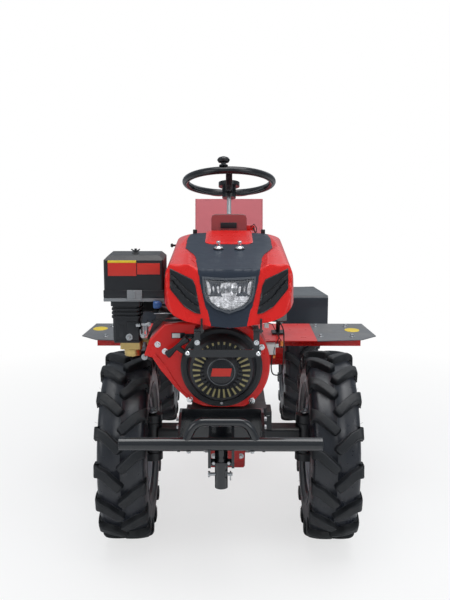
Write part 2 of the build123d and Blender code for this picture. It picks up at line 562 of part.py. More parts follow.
# Rear hitch: a drawbar plate with an upright pin hole, on a bracket behind the casing.
HITCH_Y = Y_REAR + HITCH_BEHIND
HITCH_BORE_R = 11
HITCH_Z = 330
HITCH_HALF = 60
HITCH_SHEET = 13            # upright plate that bolts to the casing
hitch_seat = Y_REAR + CASING_R + FIT
hitch_back = Y_REAR + CASING_R + HITCH_SHEET
hitch_taper = HITCH_Y - 190
with BuildPart() as rear_hitch:
    with BuildSketch(Plane.XY.offset(HITCH_Z - 9)):
        with BuildLine():
            nose = 34
            Polyline((-HITCH_HALF, hitch_seat), (HITCH_HALF, hitch_seat), (HITCH_HALF, hitch_taper),
                     (nose, HITCH_Y - nose), (-nose, HITCH_Y - nose), (-HITCH_HALF, hitch_taper),
                     (-HITCH_HALF, hitch_seat))
        make_face()
        with Locations((0, HITCH_Y - nose)):
            Circle(nose)
    extrude(amount=18)
    bar((-HITCH_HALF, HITCH_HALF), (hitch_seat, hitch_back), (HITCH_Z - 60, HITCH_Z + 60))
    for x in (-54, 46):
        with BuildSketch(side_plane(x)):
            with BuildLine():
                Polyline((hitch_back - 5, HITCH_Z), (hitch_taper, HITCH_Z), (hitch_back - 5, HITCH_Z + 58),
                         (hitch_back - 5, HITCH_Z))
            make_face()
        extrude(amount=8)
    post(0, HITCH_Y - nose, (HITCH_Z - 20, HITCH_Z + 20), HITCH_BORE_R, mode=Mode.SUBTRACT)
rear_hitch.part.label = "rear_hitch"
export_step(rear_hitch.part, "parts/rear_hitch.step")

# Engine: crankcase on the mount plates, and a finned cylinder that leans to the right.
ENGINE_FOOT = RAIL_TOP + MOUNT_PLATE + FIT
SHROUD_REAR = SHROUD_FACE + SHROUD_DEPTH
BLOCK_REAR = Y_FRONT + 14
CYLINDER_LEAN = 24
DECK = 44                   # cylinder's foot from the bore's start
DECK_HALF = 56
HEAD_PLANE = Plane(origin=(ENGINE_X - 62, (BLOCK_REAR + SHROUD_REAR) / 2, CRANK_Z + 38),
                   x_dir=(0, 1, 0), z_dir=(-cos(radians(CYLINDER_LEAN)), 0, sin(radians(CYLINDER_LEAN))))
HEAD_END = 168
BARREL_HALF = (BLOCK_REAR - SHROUD_REAR) / 2 - 24
FIN_PITCH = 13
deck_centre = HEAD_PLANE.origin + HEAD_PLANE.z_dir * DECK
deck_high = deck_centre - HEAD_PLANE.y_dir * DECK_HALF
deck_low = deck_centre + HEAD_PLANE.y_dir * DECK_HALF
with BuildPart() as engine_block:
    with BuildSketch(front_plane(BLOCK_REAR)):
        with BuildLine():
            Polyline((ENGINE_X - 104, ENGINE_FOOT), (ENGINE_X + 98, ENGINE_FOOT),
                     (ENGINE_X + 98, ENGINE_FOOT + 20), (ENGINE_X + 84, ENGINE_FOOT + 34),
                     (ENGINE_X + 100, CRANK_Z), (ENGINE_X + 74, CRANK_Z + 84),
                     (deck_high.X, deck_high.Z), (deck_low.X, deck_low.Z), (ENGINE_X - 96, ENGINE_FOOT + 30),
                     (ENGINE_X - 104, ENGINE_FOOT + 20), (ENGINE_X - 104, ENGINE_FOOT))
        make_face()
    extrude(amount=BLOCK_REAR - SHROUD_REAR - FIT)
    chamfer(engine_block.faces().sort_by(Axis.Y)[-1].edges(), 6)
    shaft_y(ENGINE_X, (BLOCK_REAR, BELT_FRONT - FIT), CRANK_Z, 40)
engine_block.part.label = "engine_block"
export_step(engine_block.part, "parts/engine_block.step")

with BuildPart() as cylinder_head:
    with BuildSketch(HEAD_PLANE.offset(DECK + FIT)):
        RectangleRounded(2 * BARREL_HALF - 16, 100, 12)
    extrude(amount=124)
    for index in range(6):
        with BuildSketch(HEAD_PLANE.offset(48 + index * FIN_PITCH)):
            RectangleRounded(2 * BARREL_HALF, 124, 10)
        extrude(amount=5)
    with BuildSketch(HEAD_PLANE.offset(132)):
        RectangleRounded(2 * BARREL_HALF - 6, 112, 18)
    extrude(amount=HEAD_END - 132)
cylinder_head.part.label = "cylinder_head"
export_step(cylinder_head.part, "parts/cylinder_head.step")

# Pressed fan shroud over the engine's front, carried out to the right over the cylinder.
with BuildPart() as fan_shroud:
    with BuildSketch(front_plane(SHROUD_REAR)):
        with BuildLine():
            side, skirt = (ENGINE_X + 146, CRANK_Z + 8), (ENGINE_X + 98, CRANK_Z - 109)
            RadiusArc(side, skirt, 150)
            outline = [(69, -128), (0, -130), (-54, -127), (-100, -108), (-138, -71), (-187, -10), (-209, 25),
                       (-234, 32), (-217, 81), (-173, 128)]
            shoulder = (ENGINE_X + 74, SHROUD_TOP)
            Polyline(skirt, *[(ENGINE_X + x, CRANK_Z + z) for x, z in outline],
                     (ENGINE_X - 128, SHROUD_TOP), shoulder)
            RadiusArc(shoulder, side, 150)
        make_face()
    extrude(amount=SHROUD_DEPTH)
    fillet(fan_shroud.faces().sort_by(Axis.Y)[0].edges(), 7)
fan_shroud.part.label = "fan_shroud"
export_step(fan_shroud.part, "parts/fan_shroud.step")

# Recoil starter: a stepped round cover with a ring of slots, and its grip.
COVER_R = 123
SLOT_RING_R = 90
SLOTS = 30
with BuildPart() as recoil_cover:
    with BuildSketch(Plane(origin=(ENGINE_X, SHROUD_FACE - FIT, CRANK_Z), x_dir=(1, 0, 0), z_dir=(0, 0, 1))):
        with BuildLine():
            Polyline((0, 0), (COVER_R, 0), (COVER_R, -9), (COVER_R - 6, -14), (SLOT_RING_R + 14, -14),
                     (SLOT_RING_R + 4, -38), (SLOT_RING_R - 4, -44), (52, -52), (44, -64), (38, -70),
                     (0, -70), (0, 0))
        make_face()
    revolve(axis=Axis((ENGINE_X, 0, CRANK_Z), (0, 1, 0)))
    with Locations(Plane(origin=(ENGINE_X, SHROUD_FACE - 46, CRANK_Z), z_dir=(0, -1, 0))):
        with PolarLocations(SLOT_RING_R - 22, SLOTS):
            Box(30, 5, 26, mode=Mode.SUBTRACT)
recoil_cover.part.label = "recoil_cover"
export_step(recoil_cover.part, "parts/recoil_cover.step")

GRIP_TILT = 50
GRIP_X = ENGINE_X - 131
GRIP_Z = CRANK_Z + 68
GRIP_Y = SHROUD_FACE - 34
with BuildPart() as recoil_handle:
    with Locations(Location((GRIP_X, GRIP_Y, GRIP_Z), (0, GRIP_TILT, 0))):
        Cylinder(10, 80)
    fillet(recoil_handle.edges().filter_by(GeomType.CIRCLE), 6)
    shaft_y(GRIP_X, (GRIP_Y, SHROUD_FACE - FIT), GRIP_Z, 8)
recoil_handle.part.label = "recoil_handle"
export_step(recoil_handle.part, "parts/recoil_handle.step")

# Belt guard behind the engine, down to the gearbox's input shaft.
with BuildPart() as belt_guard:
    with BuildSketch(front_plane(BELT_FRONT + BELT_DEPTH)):
        with Locations((ENGINE_X, CRANK_Z)):
            Circle(76)
        with Locations((INPUT_X, INPUT_Z)):
            Circle(26)
        make_hull()
    extrude(amount=BELT_DEPTH)
    fillet(belt_guard.faces().sort_by(Axis.Y)[-1].edges(), 8)
belt_guard.part.label = "belt_guard"
export_step(belt_guard.part, "parts/belt_guard.step")

# Air cleaner box out to the right, on a ribbed duct down to the carburettor.
CLEANER_RIGHT = -376
CLEANER_LEFT = -196
CLEANER_FRONT = Y_FRONT - 280
CLEANER_DEPTH = 140
CLEANER_FOOT = 868
CLEANER_TOP = 1005
ELBOW_X = -312
with BuildPart() as air_cleaner:
    bar((CLEANER_RIGHT, CLEANER_LEFT), (CLEANER_FRONT, CLEANER_FRONT + CLEANER_DEPTH),
        (CLEANER_FOOT + 12, CLEANER_TOP))
    chamfer(air_cleaner.faces().sort_by(Axis.Z)[-1].edges(), 14)
    fillet(air_cleaner.edges().filter_by(Axis.Z), 8)
    bar((CLEANER_RIGHT + 4, CLEANER_LEFT - 4), (CLEANER_FRONT + 4, CLEANER_FRONT + CLEANER_DEPTH - 4),
        (CLEANER_FOOT, CLEANER_FOOT + 12))
    post((CLEANER_RIGHT + CLEANER_LEFT) / 2, CLEANER_FRONT + CLEANER_DEPTH / 2,
         (CLEANER_TOP - 1, CLEANER_TOP + 14), 4)
air_cleaner.part.label = "air_cleaner"
export_step(air_cleaner.part, "parts/air_cleaner.step")

ELBOW_Y = CLEANER_FRONT + 52
ELBOW_FOOT = 737
DUCT_WIDE = 84
DUCT_DEEP = 78
DUCT_CORNER = 12
DUCT_NECK = ELBOW_FOOT + 76 # where the ribs start
RIB_PITCH = 12
with BuildPart() as intake_elbow:
    levels = [(ELBOW_FOOT, DUCT_NECK, 0), (DUCT_NECK - 1, CLEANER_FOOT - 17, -3),
              (CLEANER_FOOT - 18, CLEANER_FOOT - FIT, 5)]
    levels += [(z, z + RIB_PITCH / 2, 3) for z in (DUCT_NECK + RIB_PITCH * index for index in range(3))]
    for low_z, high_z, grow in levels:
        with BuildSketch(Plane.XY.offset(low_z)):
            with Locations((ELBOW_X, ELBOW_Y)):
                RectangleRounded(DUCT_WIDE + 2 * grow, DUCT_DEEP + 2 * grow, DUCT_CORNER)
        extrude(amount=high_z - low_z)
    fillet(intake_elbow.faces().sort_by(Axis.Z)[0].edges(), 5)
intake_elbow.part.label = "intake_elbow"
export_step(intake_elbow.part, "parts/intake_elbow.step")

# Carburettor under the duct, with its float bowl, its throttle boss and a runner to the cylinder head.
BODY_DROP = 24
BOWL_R = 25
RUNNER = (ELBOW_X + 30, ELBOW_X + 74)
with BuildPart() as carburettor:
    bar((ELBOW_X - 22, ELBOW_X + 44), (ELBOW_Y - 30, ELBOW_Y + 34),
        (ELBOW_FOOT - BODY_DROP, ELBOW_FOOT - FIT))
    fillet(carburettor.edges().filter_by(Axis.Z), 8)
    head_front = HEAD_PLANE.origin.Y - BARREL_HALF + 3
    bar(RUNNER, (SHROUD_REAR + FIT, head_front - FIT), (ELBOW_FOOT - BODY_DROP, ELBOW_FOOT - 4))
    post(ELBOW_X + 14, ELBOW_Y - 4, (ELBOW_FOOT - 46, ELBOW_FOOT - BODY_DROP), BOWL_R)
carburettor.part.label = "carburettor"
export_step(carburettor.part, "parts/carburettor.step")

# Silencer behind the air cleaner.
with BuildPart() as silencer:
    with BuildSketch(front_plane(Y_FRONT + 60)):
        with Locations((-282, 850)):
            RectangleRounded(116, 96, 30)
    extrude(amount=170)
    fillet(silencer.faces().filter_by(Axis.Y).edges(), 8)
    with BuildSketch(HEAD_PLANE.offset(HEAD_END + FIT)):
        with Locations((38, -22)):
            Circle(18)
    extrude(amount=26)
    with Locations((-345, Y_FRONT + 20, 850)):
        Cylinder(14, 40, rotation=(0, 90, 0))
silencer.part.label = "silencer"
export_step(silencer.part, "parts/silencer.step")

# Fuel tank on the shroud, under the hood.
TANK_HALF = 153
with BuildPart() as fuel_tank:
    bar((-TANK_HALF - 7, TANK_HALF - 7), (Y_FRONT - 300, Y_FRONT - 30), (TANK_FOOT, TANK_FOOT + 96))
    fillet(fuel_tank.edges().filter_by(Axis.Z), 30)
    fillet(fuel_tank.faces().filter_by(Axis.Z).edges(), 12)
    post(40, Y_FRONT - 200, (TANK_FOOT + 94, TANK_FOOT + 110), 28)
    for x in (-120, 20):
        bar((x, x + 26), (SHROUD_FACE + 20, SHROUD_REAR - 10), (SHROUD_TOP + FIT, TANK_FOOT + 1))
fuel_tank.part.label = "fuel_tank"
export_step(fuel_tank.part, "parts/fuel_tank.step")


PANEL_OUTLINE = ((54, -420), (92, -345), (94, -298), (109, -160), (140, -55), (141, 94), (135, 203))
PANEL_GAP = 2               # between the panel's edge and the hood's raised shoulders
SHOULDER_TOP = 989          # shoulders' height at the nose


def panel_plan(grow):
    """Centre panel's outline seen from above, grown sideways, and open to the front and rear when grown."""
    ends = 80 if grow else 0
    with BuildSketch(Plane.XY.offset(700)) as plan:
        with BuildLine():
            edge = [(x + grow, Y_FRONT + y) for x, y in PANEL_OUTLINE]
            front, rear = edge[0][1] - ends, edge[-1][1] + ends
            Polyline((0, front), (edge[0][0], front), *edge[0 if ends else 1:],
                     *([(edge[-1][0], rear)] if ends else []), (0, rear), (0, front))
        make_face()
        mirror(about=Plane.YZ)
    return plan.sketch


def hood_block(inset, drop, top):
    """Hood's side profile across its whole width, up to this height at the nose."""
    front_y, front_z = HOOD_NOSE_FOOT
    rear_y, rear_z = HOOD_REAR
    lean = (HOOD_NOSE_TOP[0] - front_y) / (HOOD_NOSE_TOP[1] - front_z)
    with BuildPart() as block:
        with BuildSketch(side_plane(-HOOD_HALF + inset)):
            with BuildLine():
                Polyline((front_y + inset - drop * lean, front_z - drop),
                         (front_y + lean * (top - front_z) + inset, top - inset * 0.7),
                         (rear_y + drop, rear_z - inset), (rear_y + drop, HOOD_SKIRT_Z - 40 - drop),
                         (front_y + inset - drop * lean, front_z - drop))
            make_face()
        extrude(amount=2 * (HOOD_HALF - inset))
    return block.part


def hood_body(inset, drop):
    """Hood's outer form with its walls moved in by inset, and its foot and rear moved out by drop."""
    front_y, front_z = HOOD_NOSE_FOOT
    rear_y, rear_z = HOOD_REAR
    with BuildPart() as body:
        add(hood_block(inset, drop, SHOULDER_TOP))
        extrude(panel_plan(PANEL_GAP + inset), amount=500, mode=Mode.SUBTRACT)
        add(hood_block(inset, drop, HOOD_NOSE_TOP[1]))
        with BuildSketch(front_plane(rear_y + 100)):
            with BuildLine():
                half = HOOD_HALF - inset
                foot = front_z - drop
                top = rear_z + 4 - inset
                Polyline((0, foot), (56, foot + 6), (125, foot + 19), (161, foot + 35), (half - 4, foot + 60),
                         (half, foot + 100), (half, top - 92))
                ThreePointArc((half, top - 92), (half - 12, top - 46), (half - 52, top - 17))
                ThreePointArc((half - 52, top - 17), (half / 2, top - 4), (0, top))
                Line((0, top), (0, foot))
            make_face()
            mirror(about=Plane.YZ)
        extrude(amount=900, mode=Mode.INTERSECT)
        with BuildSketch(Plane.XY.offset(front_z - 100)):
            with BuildLine():
                nose_y = front_y + inset - drop
                back_y = rear_y + 60
                Polyline((0, nose_y), (148, nose_y + 3), (178, nose_y + 24), (half, nose_y + 66 + drop),
                         (half, back_y), (0, back_y), (0, nose_y))
            make_face()
            mirror(about=Plane.YZ)
        extrude(amount=500, mode=Mode.INTERSECT)
    return body.part


# Hood: a thin shell, open below and behind.
hood_outer = hood_body(0, 0)
with BuildPart() as hood_shell:
    add(hood_outer)
    add(hood_body(HOOD_SHEET, 60), mode=Mode.SUBTRACT)
    for x in BRACKET_POST_X:
        lug_x = x + BRACKET_POST + 1
        bar((lug_x, lug_x + 6), (HINGE_Y - 5, HINGE_Y + 7), (HINGE_Z - 7, HINGE_Z + 26))
        shaft_x((lug_x - 1, lug_x + 7), HINGE_Y, HINGE_Z, HINGE_PIN_R + PIN_GAP, mode=Mode.SUBTRACT)
hood_shell.part.label = "hood_shell"
export_step(hood_shell.part, "parts/hood_shell.step")

# Dark centre panel of the hood: a thin skin over the top and down the nose.
PANEL_SHEET = 2.5
with BuildPart() as hood_panel:
    extrude(panel_plan(0), amount=500)
    add(hood_outer.moved(Location((0, -PANEL_SHEET * 0.8, PANEL_SHEET * 0.85))), mode=Mode.INTERSECT)
    add(hood_outer.moved(Location((0, -FIT, FIT))), mode=Mode.SUBTRACT)
hood_panel.part.label = "hood_panel"
export_step(hood_panel.part, "parts/hood_panel.step")

# Headlamp on the nose: a shield-shaped bezel with its lens, and a louvred vent to each side.
NOSE = Plane(origin=(0, *HOOD_NOSE_FOOT), x_dir=(1, 0, 0),
             z_dir=(0, -(HOOD_NOSE_TOP[1] - HOOD_NOSE_FOOT[1]), HOOD_NOSE_TOP[0] - HOOD_NOSE_FOOT[0]))
LAMP_FOOT = 48
LAMP_TOP = 142


def shield(grow):
    """Face on the nose with the lamp's outline, grown all round."""
    with BuildSketch(NOSE.offset(PANEL_SHEET + FIT)) as face:
        with BuildLine():
            Polyline((0, LAMP_FOOT - grow), (37 + grow * 0.6, LAMP_FOOT + 13 - grow * 0.8),
                     (59 + grow, LAMP_FOOT + 30),
                     (66 + grow, LAMP_FOOT + 52), (71 + grow, LAMP_TOP + grow))
            ThreePointArc((71 + grow, LAMP_TOP + grow), (40, LAMP_TOP - 3 + grow), (0, LAMP_TOP - 5 + grow))
            Line((0, LAMP_TOP - 5 + grow), (0, LAMP_FOOT - grow))
        make_face()
        mirror(about=Plane.YZ)
    return face.sketch


with BuildPart() as headlamp_bezel:
    extrude(shield(7), amount=5)
    extrude(shield(0), amount=5, mode=Mode.SUBTRACT)
headlamp_bezel.part.label = "headlamp_bezel"
export_step(headlamp_bezel.part, "parts/headlamp_bezel.step")

with BuildPart() as headlamp_lens:
    extrude(shield(-FIT), amount=8)
headlamp_lens.part.label = "headlamp_lens"
export_step(headlamp_lens.part, "parts/headlamp_lens.step")

VENT_OUTLINE = ((170, 98), (171, 150), (103, 139), (94, 122), (83, 43), (104, 46), (131, 62))
VENT_BLADES = (((85, 58), (172, 106), (172, 111), (86, 64)), ((91, 96), (172, 128), (172, 133), (92, 102)))


def over_nose(outline, proud):
    """Solid that stands this proud of the nose inside an outline given as (across, up the nose)."""
    raised = NOSE.z_dir * proud
    clear = NOSE.z_dir * FIT
    with BuildPart() as cover:
        with BuildSketch(NOSE.offset(-60)):
            with BuildLine():
                Polyline(*outline, outline[0])
            make_face()
            mirror(about=Plane.YZ)
        extrude(amount=90)
        add(hood_outer.moved(Location(raised)), mode=Mode.INTERSECT)
        add(hood_outer.moved(Location(clear)), mode=Mode.SUBTRACT)
    return cover.part


with BuildPart() as hood_vents:
    add(over_nose(VENT_OUTLINE, 2.5))
    for blade in VENT_BLADES:
        add(over_nose(blade, 5.5))
hood_vents.part.label = "hood_vents"
export_step(hood_vents.part, "parts/hood_vents.step")

# Two flanged knobs on the panel, square to the hood's top.
TOP_FACE = Plane(origin=(0, *HOOD_NOSE_TOP), x_dir=(1, 0, 0),
                 z_dir=(0, HOOD_NOSE_TOP[1] - HOOD_REAR[1], HOOD_REAR[0] - HOOD_NOSE_TOP[0]))
KNOB_BACK = 274
KNOB_SPREAD = 34
with BuildPart() as hood_knobs:
    for x in (-KNOB_SPREAD, KNOB_SPREAD):
        with BuildSketch(TOP_FACE.offset(PANEL_SHEET + FIT)):
            with Locations((x, KNOB_BACK)):
                Circle(17)
        extrude(amount=4)
        with BuildSketch(TOP_FACE.offset(PANEL_SHEET + FIT + 4)):
            with Locations((x, KNOB_BACK)):
                Circle(8)
        extrude(amount=12)
        with BuildSketch(TOP_FACE.offset(PANEL_SHEET + FIT + 16)):
            with Locations((x, KNOB_BACK)):
                Circle(12)
        extrude(amount=12)
    fillet(hood_knobs.faces().sort_by(Axis.Z)[-2:].edges(), 3)
hood_knobs.part.label = "hood_knobs"
export_step(hood_knobs.part, "parts/hood_knobs.step")

# Bracket in front of the shroud: a flat bar, an angle above it, and two posts up to the hood's chin.
BRACKET_Y = Y_FRONT - 420
BRACKET_SHEET = 5
BRACKET_BAR = (729, 751)    # flat bar's lower and upper edges
with BuildPart() as hood_bracket:
    bar((-124, 92), (BRACKET_Y, BRACKET_Y + BRACKET_SHEET), BRACKET_BAR)
    for x in BRACKET_POST_X:
        across = (x, x + BRACKET_POST)
        bar(across, (BRACKET_Y, BRACKET_Y + BRACKET_SHEET), (BRACKET_BAR[1] - 1, HINGE_Z - 2))
        bar(across, (BRACKET_Y, SHROUD_FACE - FIT), (HINGE_Z - 9, HINGE_Z - 4))
        bar(across, (HINGE_Y - 6, HINGE_Y + 6), (HINGE_Z - 9, HINGE_Z + 6))
        bar(across, (SHROUD_FACE - 5, SHROUD_FACE - FIT), (HINGE_Z - 19, HINGE_Z - 5))
        shaft_x((x, x + BRACKET_POST + 10), HINGE_Y, HINGE_Z, HINGE_PIN_R)
hood_bracket.part.label = "hood_bracket"
export_step(hood_bracket.part, "parts/hood_bracket.step")

# Dashboard: a folded sheet box on two legs behind the hood.
DASH_FRONT = Y_FRONT + 258
with BuildPart() as dashboard:
    bar((-64, 64), (DASH_FRONT, DASH_FRONT + 40), (810, DASH_TOP))
    fillet(dashboard.faces().sort_by(Axis.Z)[-1].edges().filter_by(Axis.Y), 16)
    bar((-61, 61), (DASH_FRONT + 3, DASH_FRONT + 41), (809, DASH_TOP - 3))
    for side in (-1, 1):
        leg = sorted((side * 42, side * 62))
        bar(leg, (DASH_FRONT + 6, DASH_FRONT + 14), (RAIL_TOP + 30, 811))
        foot = sorted((side * 42, side * (RAIL_INSIDE + 26)))
        bar(foot, (DASH_FRONT + 6, DASH_FRONT + 44), (RAIL_TOP + FIT, RAIL_TOP + 6))
        bar(leg, (DASH_FRONT + 6, DASH_FRONT + 14), (RAIL_TOP + FIT, RAIL_TOP + 31))
dashboard.part.label = "dashboard"
export_step(dashboard.part, "parts/dashboard.step")

# Footboards, their supports on the rails, and the pedals.
with BuildPart() as footboards:
    with BuildSketch(Plane.XY.offset(FOOT_Z - FOOT_SHEET)):
        with BuildLine():
            Polyline((330, Y_FRONT + 271), (500, Y_FRONT + 295), (FOOT_HALF, Y_FRONT + 360),
                     (544, Y_FRONT + 590),
                     (330, Y_FRONT + 590), (330, Y_FRONT + 271))
        make_face()
        mirror(about=Plane.YZ)
    extrude(amount=FOOT_SHEET)
footboards.part.label = "footboards"
export_step(footboards.part, "parts/footboards.step")

with BuildPart() as footboard_supports:
    for side in (-1, 1):
        for y in (Y_FRONT + 330, Y_FRONT + 520):
            arm = sorted((side * RAIL_HALF - side * 20, side * 500))
            bar(arm, (y, y + 34), (FOOT_Z - FOOT_SHEET - 30, FOOT_Z - FOOT_SHEET - FIT))
            stem = sorted((side * (RAIL_HALF - 30), side * (RAIL_HALF)))
            bar(stem, (y, y + 34), (RAIL_TOP + FIT, FOOT_Z - FOOT_SHEET - 29))
        plate = sorted((side * (RAIL_HALF - 20), side * (330 - FIT)))
        bar(plate, (Y_FRONT + 272, Y_FRONT + 590), (FOOT_Z - FOOT_SHEET - FIT - 0.1, FOOT_Z))
footboard_supports.part.label = "footboard_supports"
export_step(footboard_supports.part, "parts/footboard_supports.step")

# Mudguards: folded sheets over the rear wheels, each with a flap in front.
GUARD_GAP = 52              # above the tyre, at the sheet's front
GUARD_FRONT = Y_REAR - TYRE_R - 88
GUARD_REAR = Y_REAR + 202
GUARD_HIGH = 2 * TYRE_R + GUARD_GAP
PEDESTAL_HALF = RAIL_HALF + 8
with BuildPart() as mudguards:
    for side in (-1, 1):
        with BuildSketch(side_plane(side * GUARD_INNER)):
            with BuildLine() as guard_line:
                FilletPolyline((GUARD_FRONT, GUARD_HIGH - 125), (GUARD_FRONT, GUARD_HIGH),
                               (GUARD_REAR, GUARD_HIGH - 58), radius=12)
            trace(guard_line.line, GUARD_SHEET)
        extrude(amount=side * (GUARD_OUTER - GUARD_INNER))
        tab = sorted((side * PEDESTAL_HALF, side * (GUARD_INNER + 1)))
        bar(tab, (GUARD_FRONT + 58, GUARD_FRONT + 118), (GUARD_HIGH - 9, GUARD_HIGH - 5))
mudguards.part.label = "mudguards"
export_step(mudguards.part, "parts/mudguards.step")

# Seat pedestal and the seat of folded sheet.
PEDESTAL_FRONT = GUARD_FRONT + 8
PEDESTAL_REAR = PEDESTAL_FRONT + 180
with BuildPart() as seat_pedestal:
    bar((-PEDESTAL_HALF + FIT, PEDESTAL_HALF - FIT), (PEDESTAL_FRONT, PEDESTAL_REAR),
        (RAIL_TOP + FIT, SEAT_Z - SEAT_SHEET / 2 - FIT))
    with Locations((0, (PEDESTAL_FRONT + PEDESTAL_REAR) / 2, (RAIL_TOP + SEAT_Z - 12) / 2 - 20)):
        Box(2 * PEDESTAL_HALF - 8, PEDESTAL_REAR - PEDESTAL_FRONT - 8, SEAT_Z - RAIL_TOP + 20,
            mode=Mode.SUBTRACT)
seat_pedestal.part.label = "seat_pedestal"
export_step(seat_pedestal.part, "parts/seat_pedestal.step")

with BuildPart() as seat:
    with BuildSketch(side_plane(-SEAT_HALF)):
        with BuildLine() as seat_line:
            FilletPolyline((PEDESTAL_FRONT - 60, SEAT_Z - 30), (PEDESTAL_FRONT - 50, SEAT_Z),
                           (PEDESTAL_REAR + 10, SEAT_Z), (PEDESTAL_REAR + 55, SEAT_TOP - 2), radius=16)
        trace(seat_line.line, SEAT_SHEET)
    extrude(amount=2 * SEAT_HALF)
seat.part.label = "seat"
export_step(seat.part, "parts/seat.step")

# Gear levers on the gearbox, with a round grip each.
with BuildPart() as gear_levers:
    for x, lean in ((-30, 8), (26, 14)):
        lever = Plane(origin=(x, GEARBOX_FRONT + 130, GEARBOX_TOP + FIT), x_dir=(1, 0, 0),
                      z_dir=(0, sin(radians(lean)), cos(radians(lean))))
        with BuildSketch(Plane.XY.offset(GEARBOX_TOP + FIT)):
            with Locations((x, GEARBOX_FRONT + 130)):
                Circle(16)
        extrude(amount=14)
        with BuildSketch(lever.offset(4)):
            Circle(6)
        extrude(amount=246)
        with Locations(lever.offset(258)):
            Sphere(18)
gear_levers.part.label = "gear_levers"
export_step(gear_levers.part, "parts/gear_levers.step")

# Pedals on the floor plates: a foot, a bent arm and a tilted pad each.
PEDAL_X = 190
PEDAL_Y = Y_FRONT + 400
with BuildPart() as pedals:
    for side in (-1, 1):
        bar((side * PEDAL_X - 24, side * PEDAL_X + 24), (PEDAL_Y - 20, PEDAL_Y + 40),
            (FOOT_Z + FIT, FOOT_Z + 6))
        arm = Plane(origin=(side * PEDAL_X, PEDAL_Y + 10, FOOT_Z + 4), x_dir=(1, 0, 0),
                    z_dir=(0, -sin(radians(22)), cos(radians(22))))
        with BuildSketch(arm):
            RectangleRounded(16, 10, 3)
        extrude(amount=92)
        with BuildSketch(arm.offset(88).rotated((28, 0, 0))):
            RectangleRounded(62, 78, 10)
        extrude(amount=6)
pedals.part.label = "pedals"
export_step(pedals.part, "parts/pedals.step")

# Plug blocks at both ends of the engine's cable: under the tank and on the shroud's flank.
PLUG_Y = Y_FRONT - 284
SHROUD_FLANK = ENGINE_X + 146.5
with BuildPart() as cable_plugs:
    bar((90, 112), (PLUG_Y - 12, PLUG_Y + 12), (808, TANK_FOOT - FIT))
    bar((SHROUD_FLANK - 12, SHROUD_FLANK + 16), (PLUG_Y - 10, PLUG_Y + 14), (706, 738))
    add(fan_shroud.part.moved(Location((FIT, 0, 0))), mode=Mode.SUBTRACT)
cable_plugs.part.label = "cable_plugs"
export_step(cable_plugs.part, "parts/cable_plugs.step")

# The cable hangs in one loop between the plugs. Its points are its route, front to rear being uneven.
CABLE_R = 2
CABLE_ROUTE = ((112 + FIT, PLUG_Y, 818), (146, PLUG_Y - 2, 813), (166, PLUG_Y, 786), (167, PLUG_Y + 2, 744),
               (166, PLUG_Y + 1, 700), (165, PLUG_Y + 2, 664), (161, PLUG_Y + 2, 640), (134, PLUG_Y + 2, 638),
               (128, PLUG_Y + 2, 662), (131, PLUG_Y + 2, 686), (132, PLUG_Y + 2, 705))


def corner_radii(points):
    """Largest arc that each corner's two runs allow."""
    corners = [Vector(*point) for point in points]
    radii = []
    for before, here, after in zip(corners, corners[1:], corners[2:]):
        run = min((here - before).length, (after - here).length)
        turn = (here - before).get_angle(after - here)
        radii.append(0.45 * run / tan(radians(turn) / 2))
    return radii


cable_radii = corner_radii(CABLE_ROUTE)
print("cable radii:", [round(radius, 1) for radius in cable_radii])
with BuildPart() as engine_cable:
    with BuildLine():
        cable_line = FilletPolyline(*CABLE_ROUTE, radius=cable_radii)
    with BuildSketch(Plane(origin=cable_line @ 0, z_dir=cable_line % 0)):
        Circle(CABLE_R)
    sweep(path=cable_line)
print("cable length:", round(cable_line.length, 1), "tube volume over section times length:",
      round(engine_cable.part.volume / (pi * CABLE_R ** 2 * cable_line.length), 4))
engine_cable.part.label = "engine_cable"
export_step(engine_cable.part, "parts/engine_cable.step")
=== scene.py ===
from math import cos, pi, radians, sin, sqrt

import bmesh
import bpy
import numpy as np
from mathutils import Matrix, Vector


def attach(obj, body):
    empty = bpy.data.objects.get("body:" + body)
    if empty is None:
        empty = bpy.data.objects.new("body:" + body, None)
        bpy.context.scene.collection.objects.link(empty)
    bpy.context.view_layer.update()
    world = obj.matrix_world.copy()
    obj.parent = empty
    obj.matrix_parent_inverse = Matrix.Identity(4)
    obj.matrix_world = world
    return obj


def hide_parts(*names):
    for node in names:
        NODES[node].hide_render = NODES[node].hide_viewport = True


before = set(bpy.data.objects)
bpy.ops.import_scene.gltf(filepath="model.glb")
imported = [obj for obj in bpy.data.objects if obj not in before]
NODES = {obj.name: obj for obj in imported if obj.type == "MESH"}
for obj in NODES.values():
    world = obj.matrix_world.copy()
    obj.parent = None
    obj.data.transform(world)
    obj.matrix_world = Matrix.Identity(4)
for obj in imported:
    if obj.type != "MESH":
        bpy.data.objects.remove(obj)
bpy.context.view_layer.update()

FRONT = -0.5805             # front axle's y
REAR = 0.6695
ENGINE_X = -0.022
PLUG_Y = FRONT - 0.284
TO_FRONT, TO_REAR, TO_TOP, TO_GROUND = (0, -1, 0), (0, 1, 0), (0, 0, 1), (0, 0, -1)
scene = bpy.context.scene


def placed(name, data):
    obj = bpy.data.objects.new(name, data)
    scene.collection.objects.link(obj)
    return obj


def tree_of(owner):
    owner.use_nodes = True
    owner.node_tree.nodes.clear()
    return owner.node_tree


def wire(tree, source, target):
    tree.links.new(source, target)


def put(node, **values):
    """Sets a node's inputs, their spaces written as underscores."""
    for key, value in values.items():
        node.inputs[key.replace("_", " ")].default_value = value


# Camera, light and floor

CAMERA_AHEAD, CAMERA_HIGH = 2.71, 1.3       # from the front axle and the ground
CAMERA_TILT, CAMERA_TURN = radians(80), radians(0.28)
SKY_COLOR, SKY_POWER = (0.84, 0.92, 1.0, 1), 0.4
WHITE = (1, 1, 1, 1)

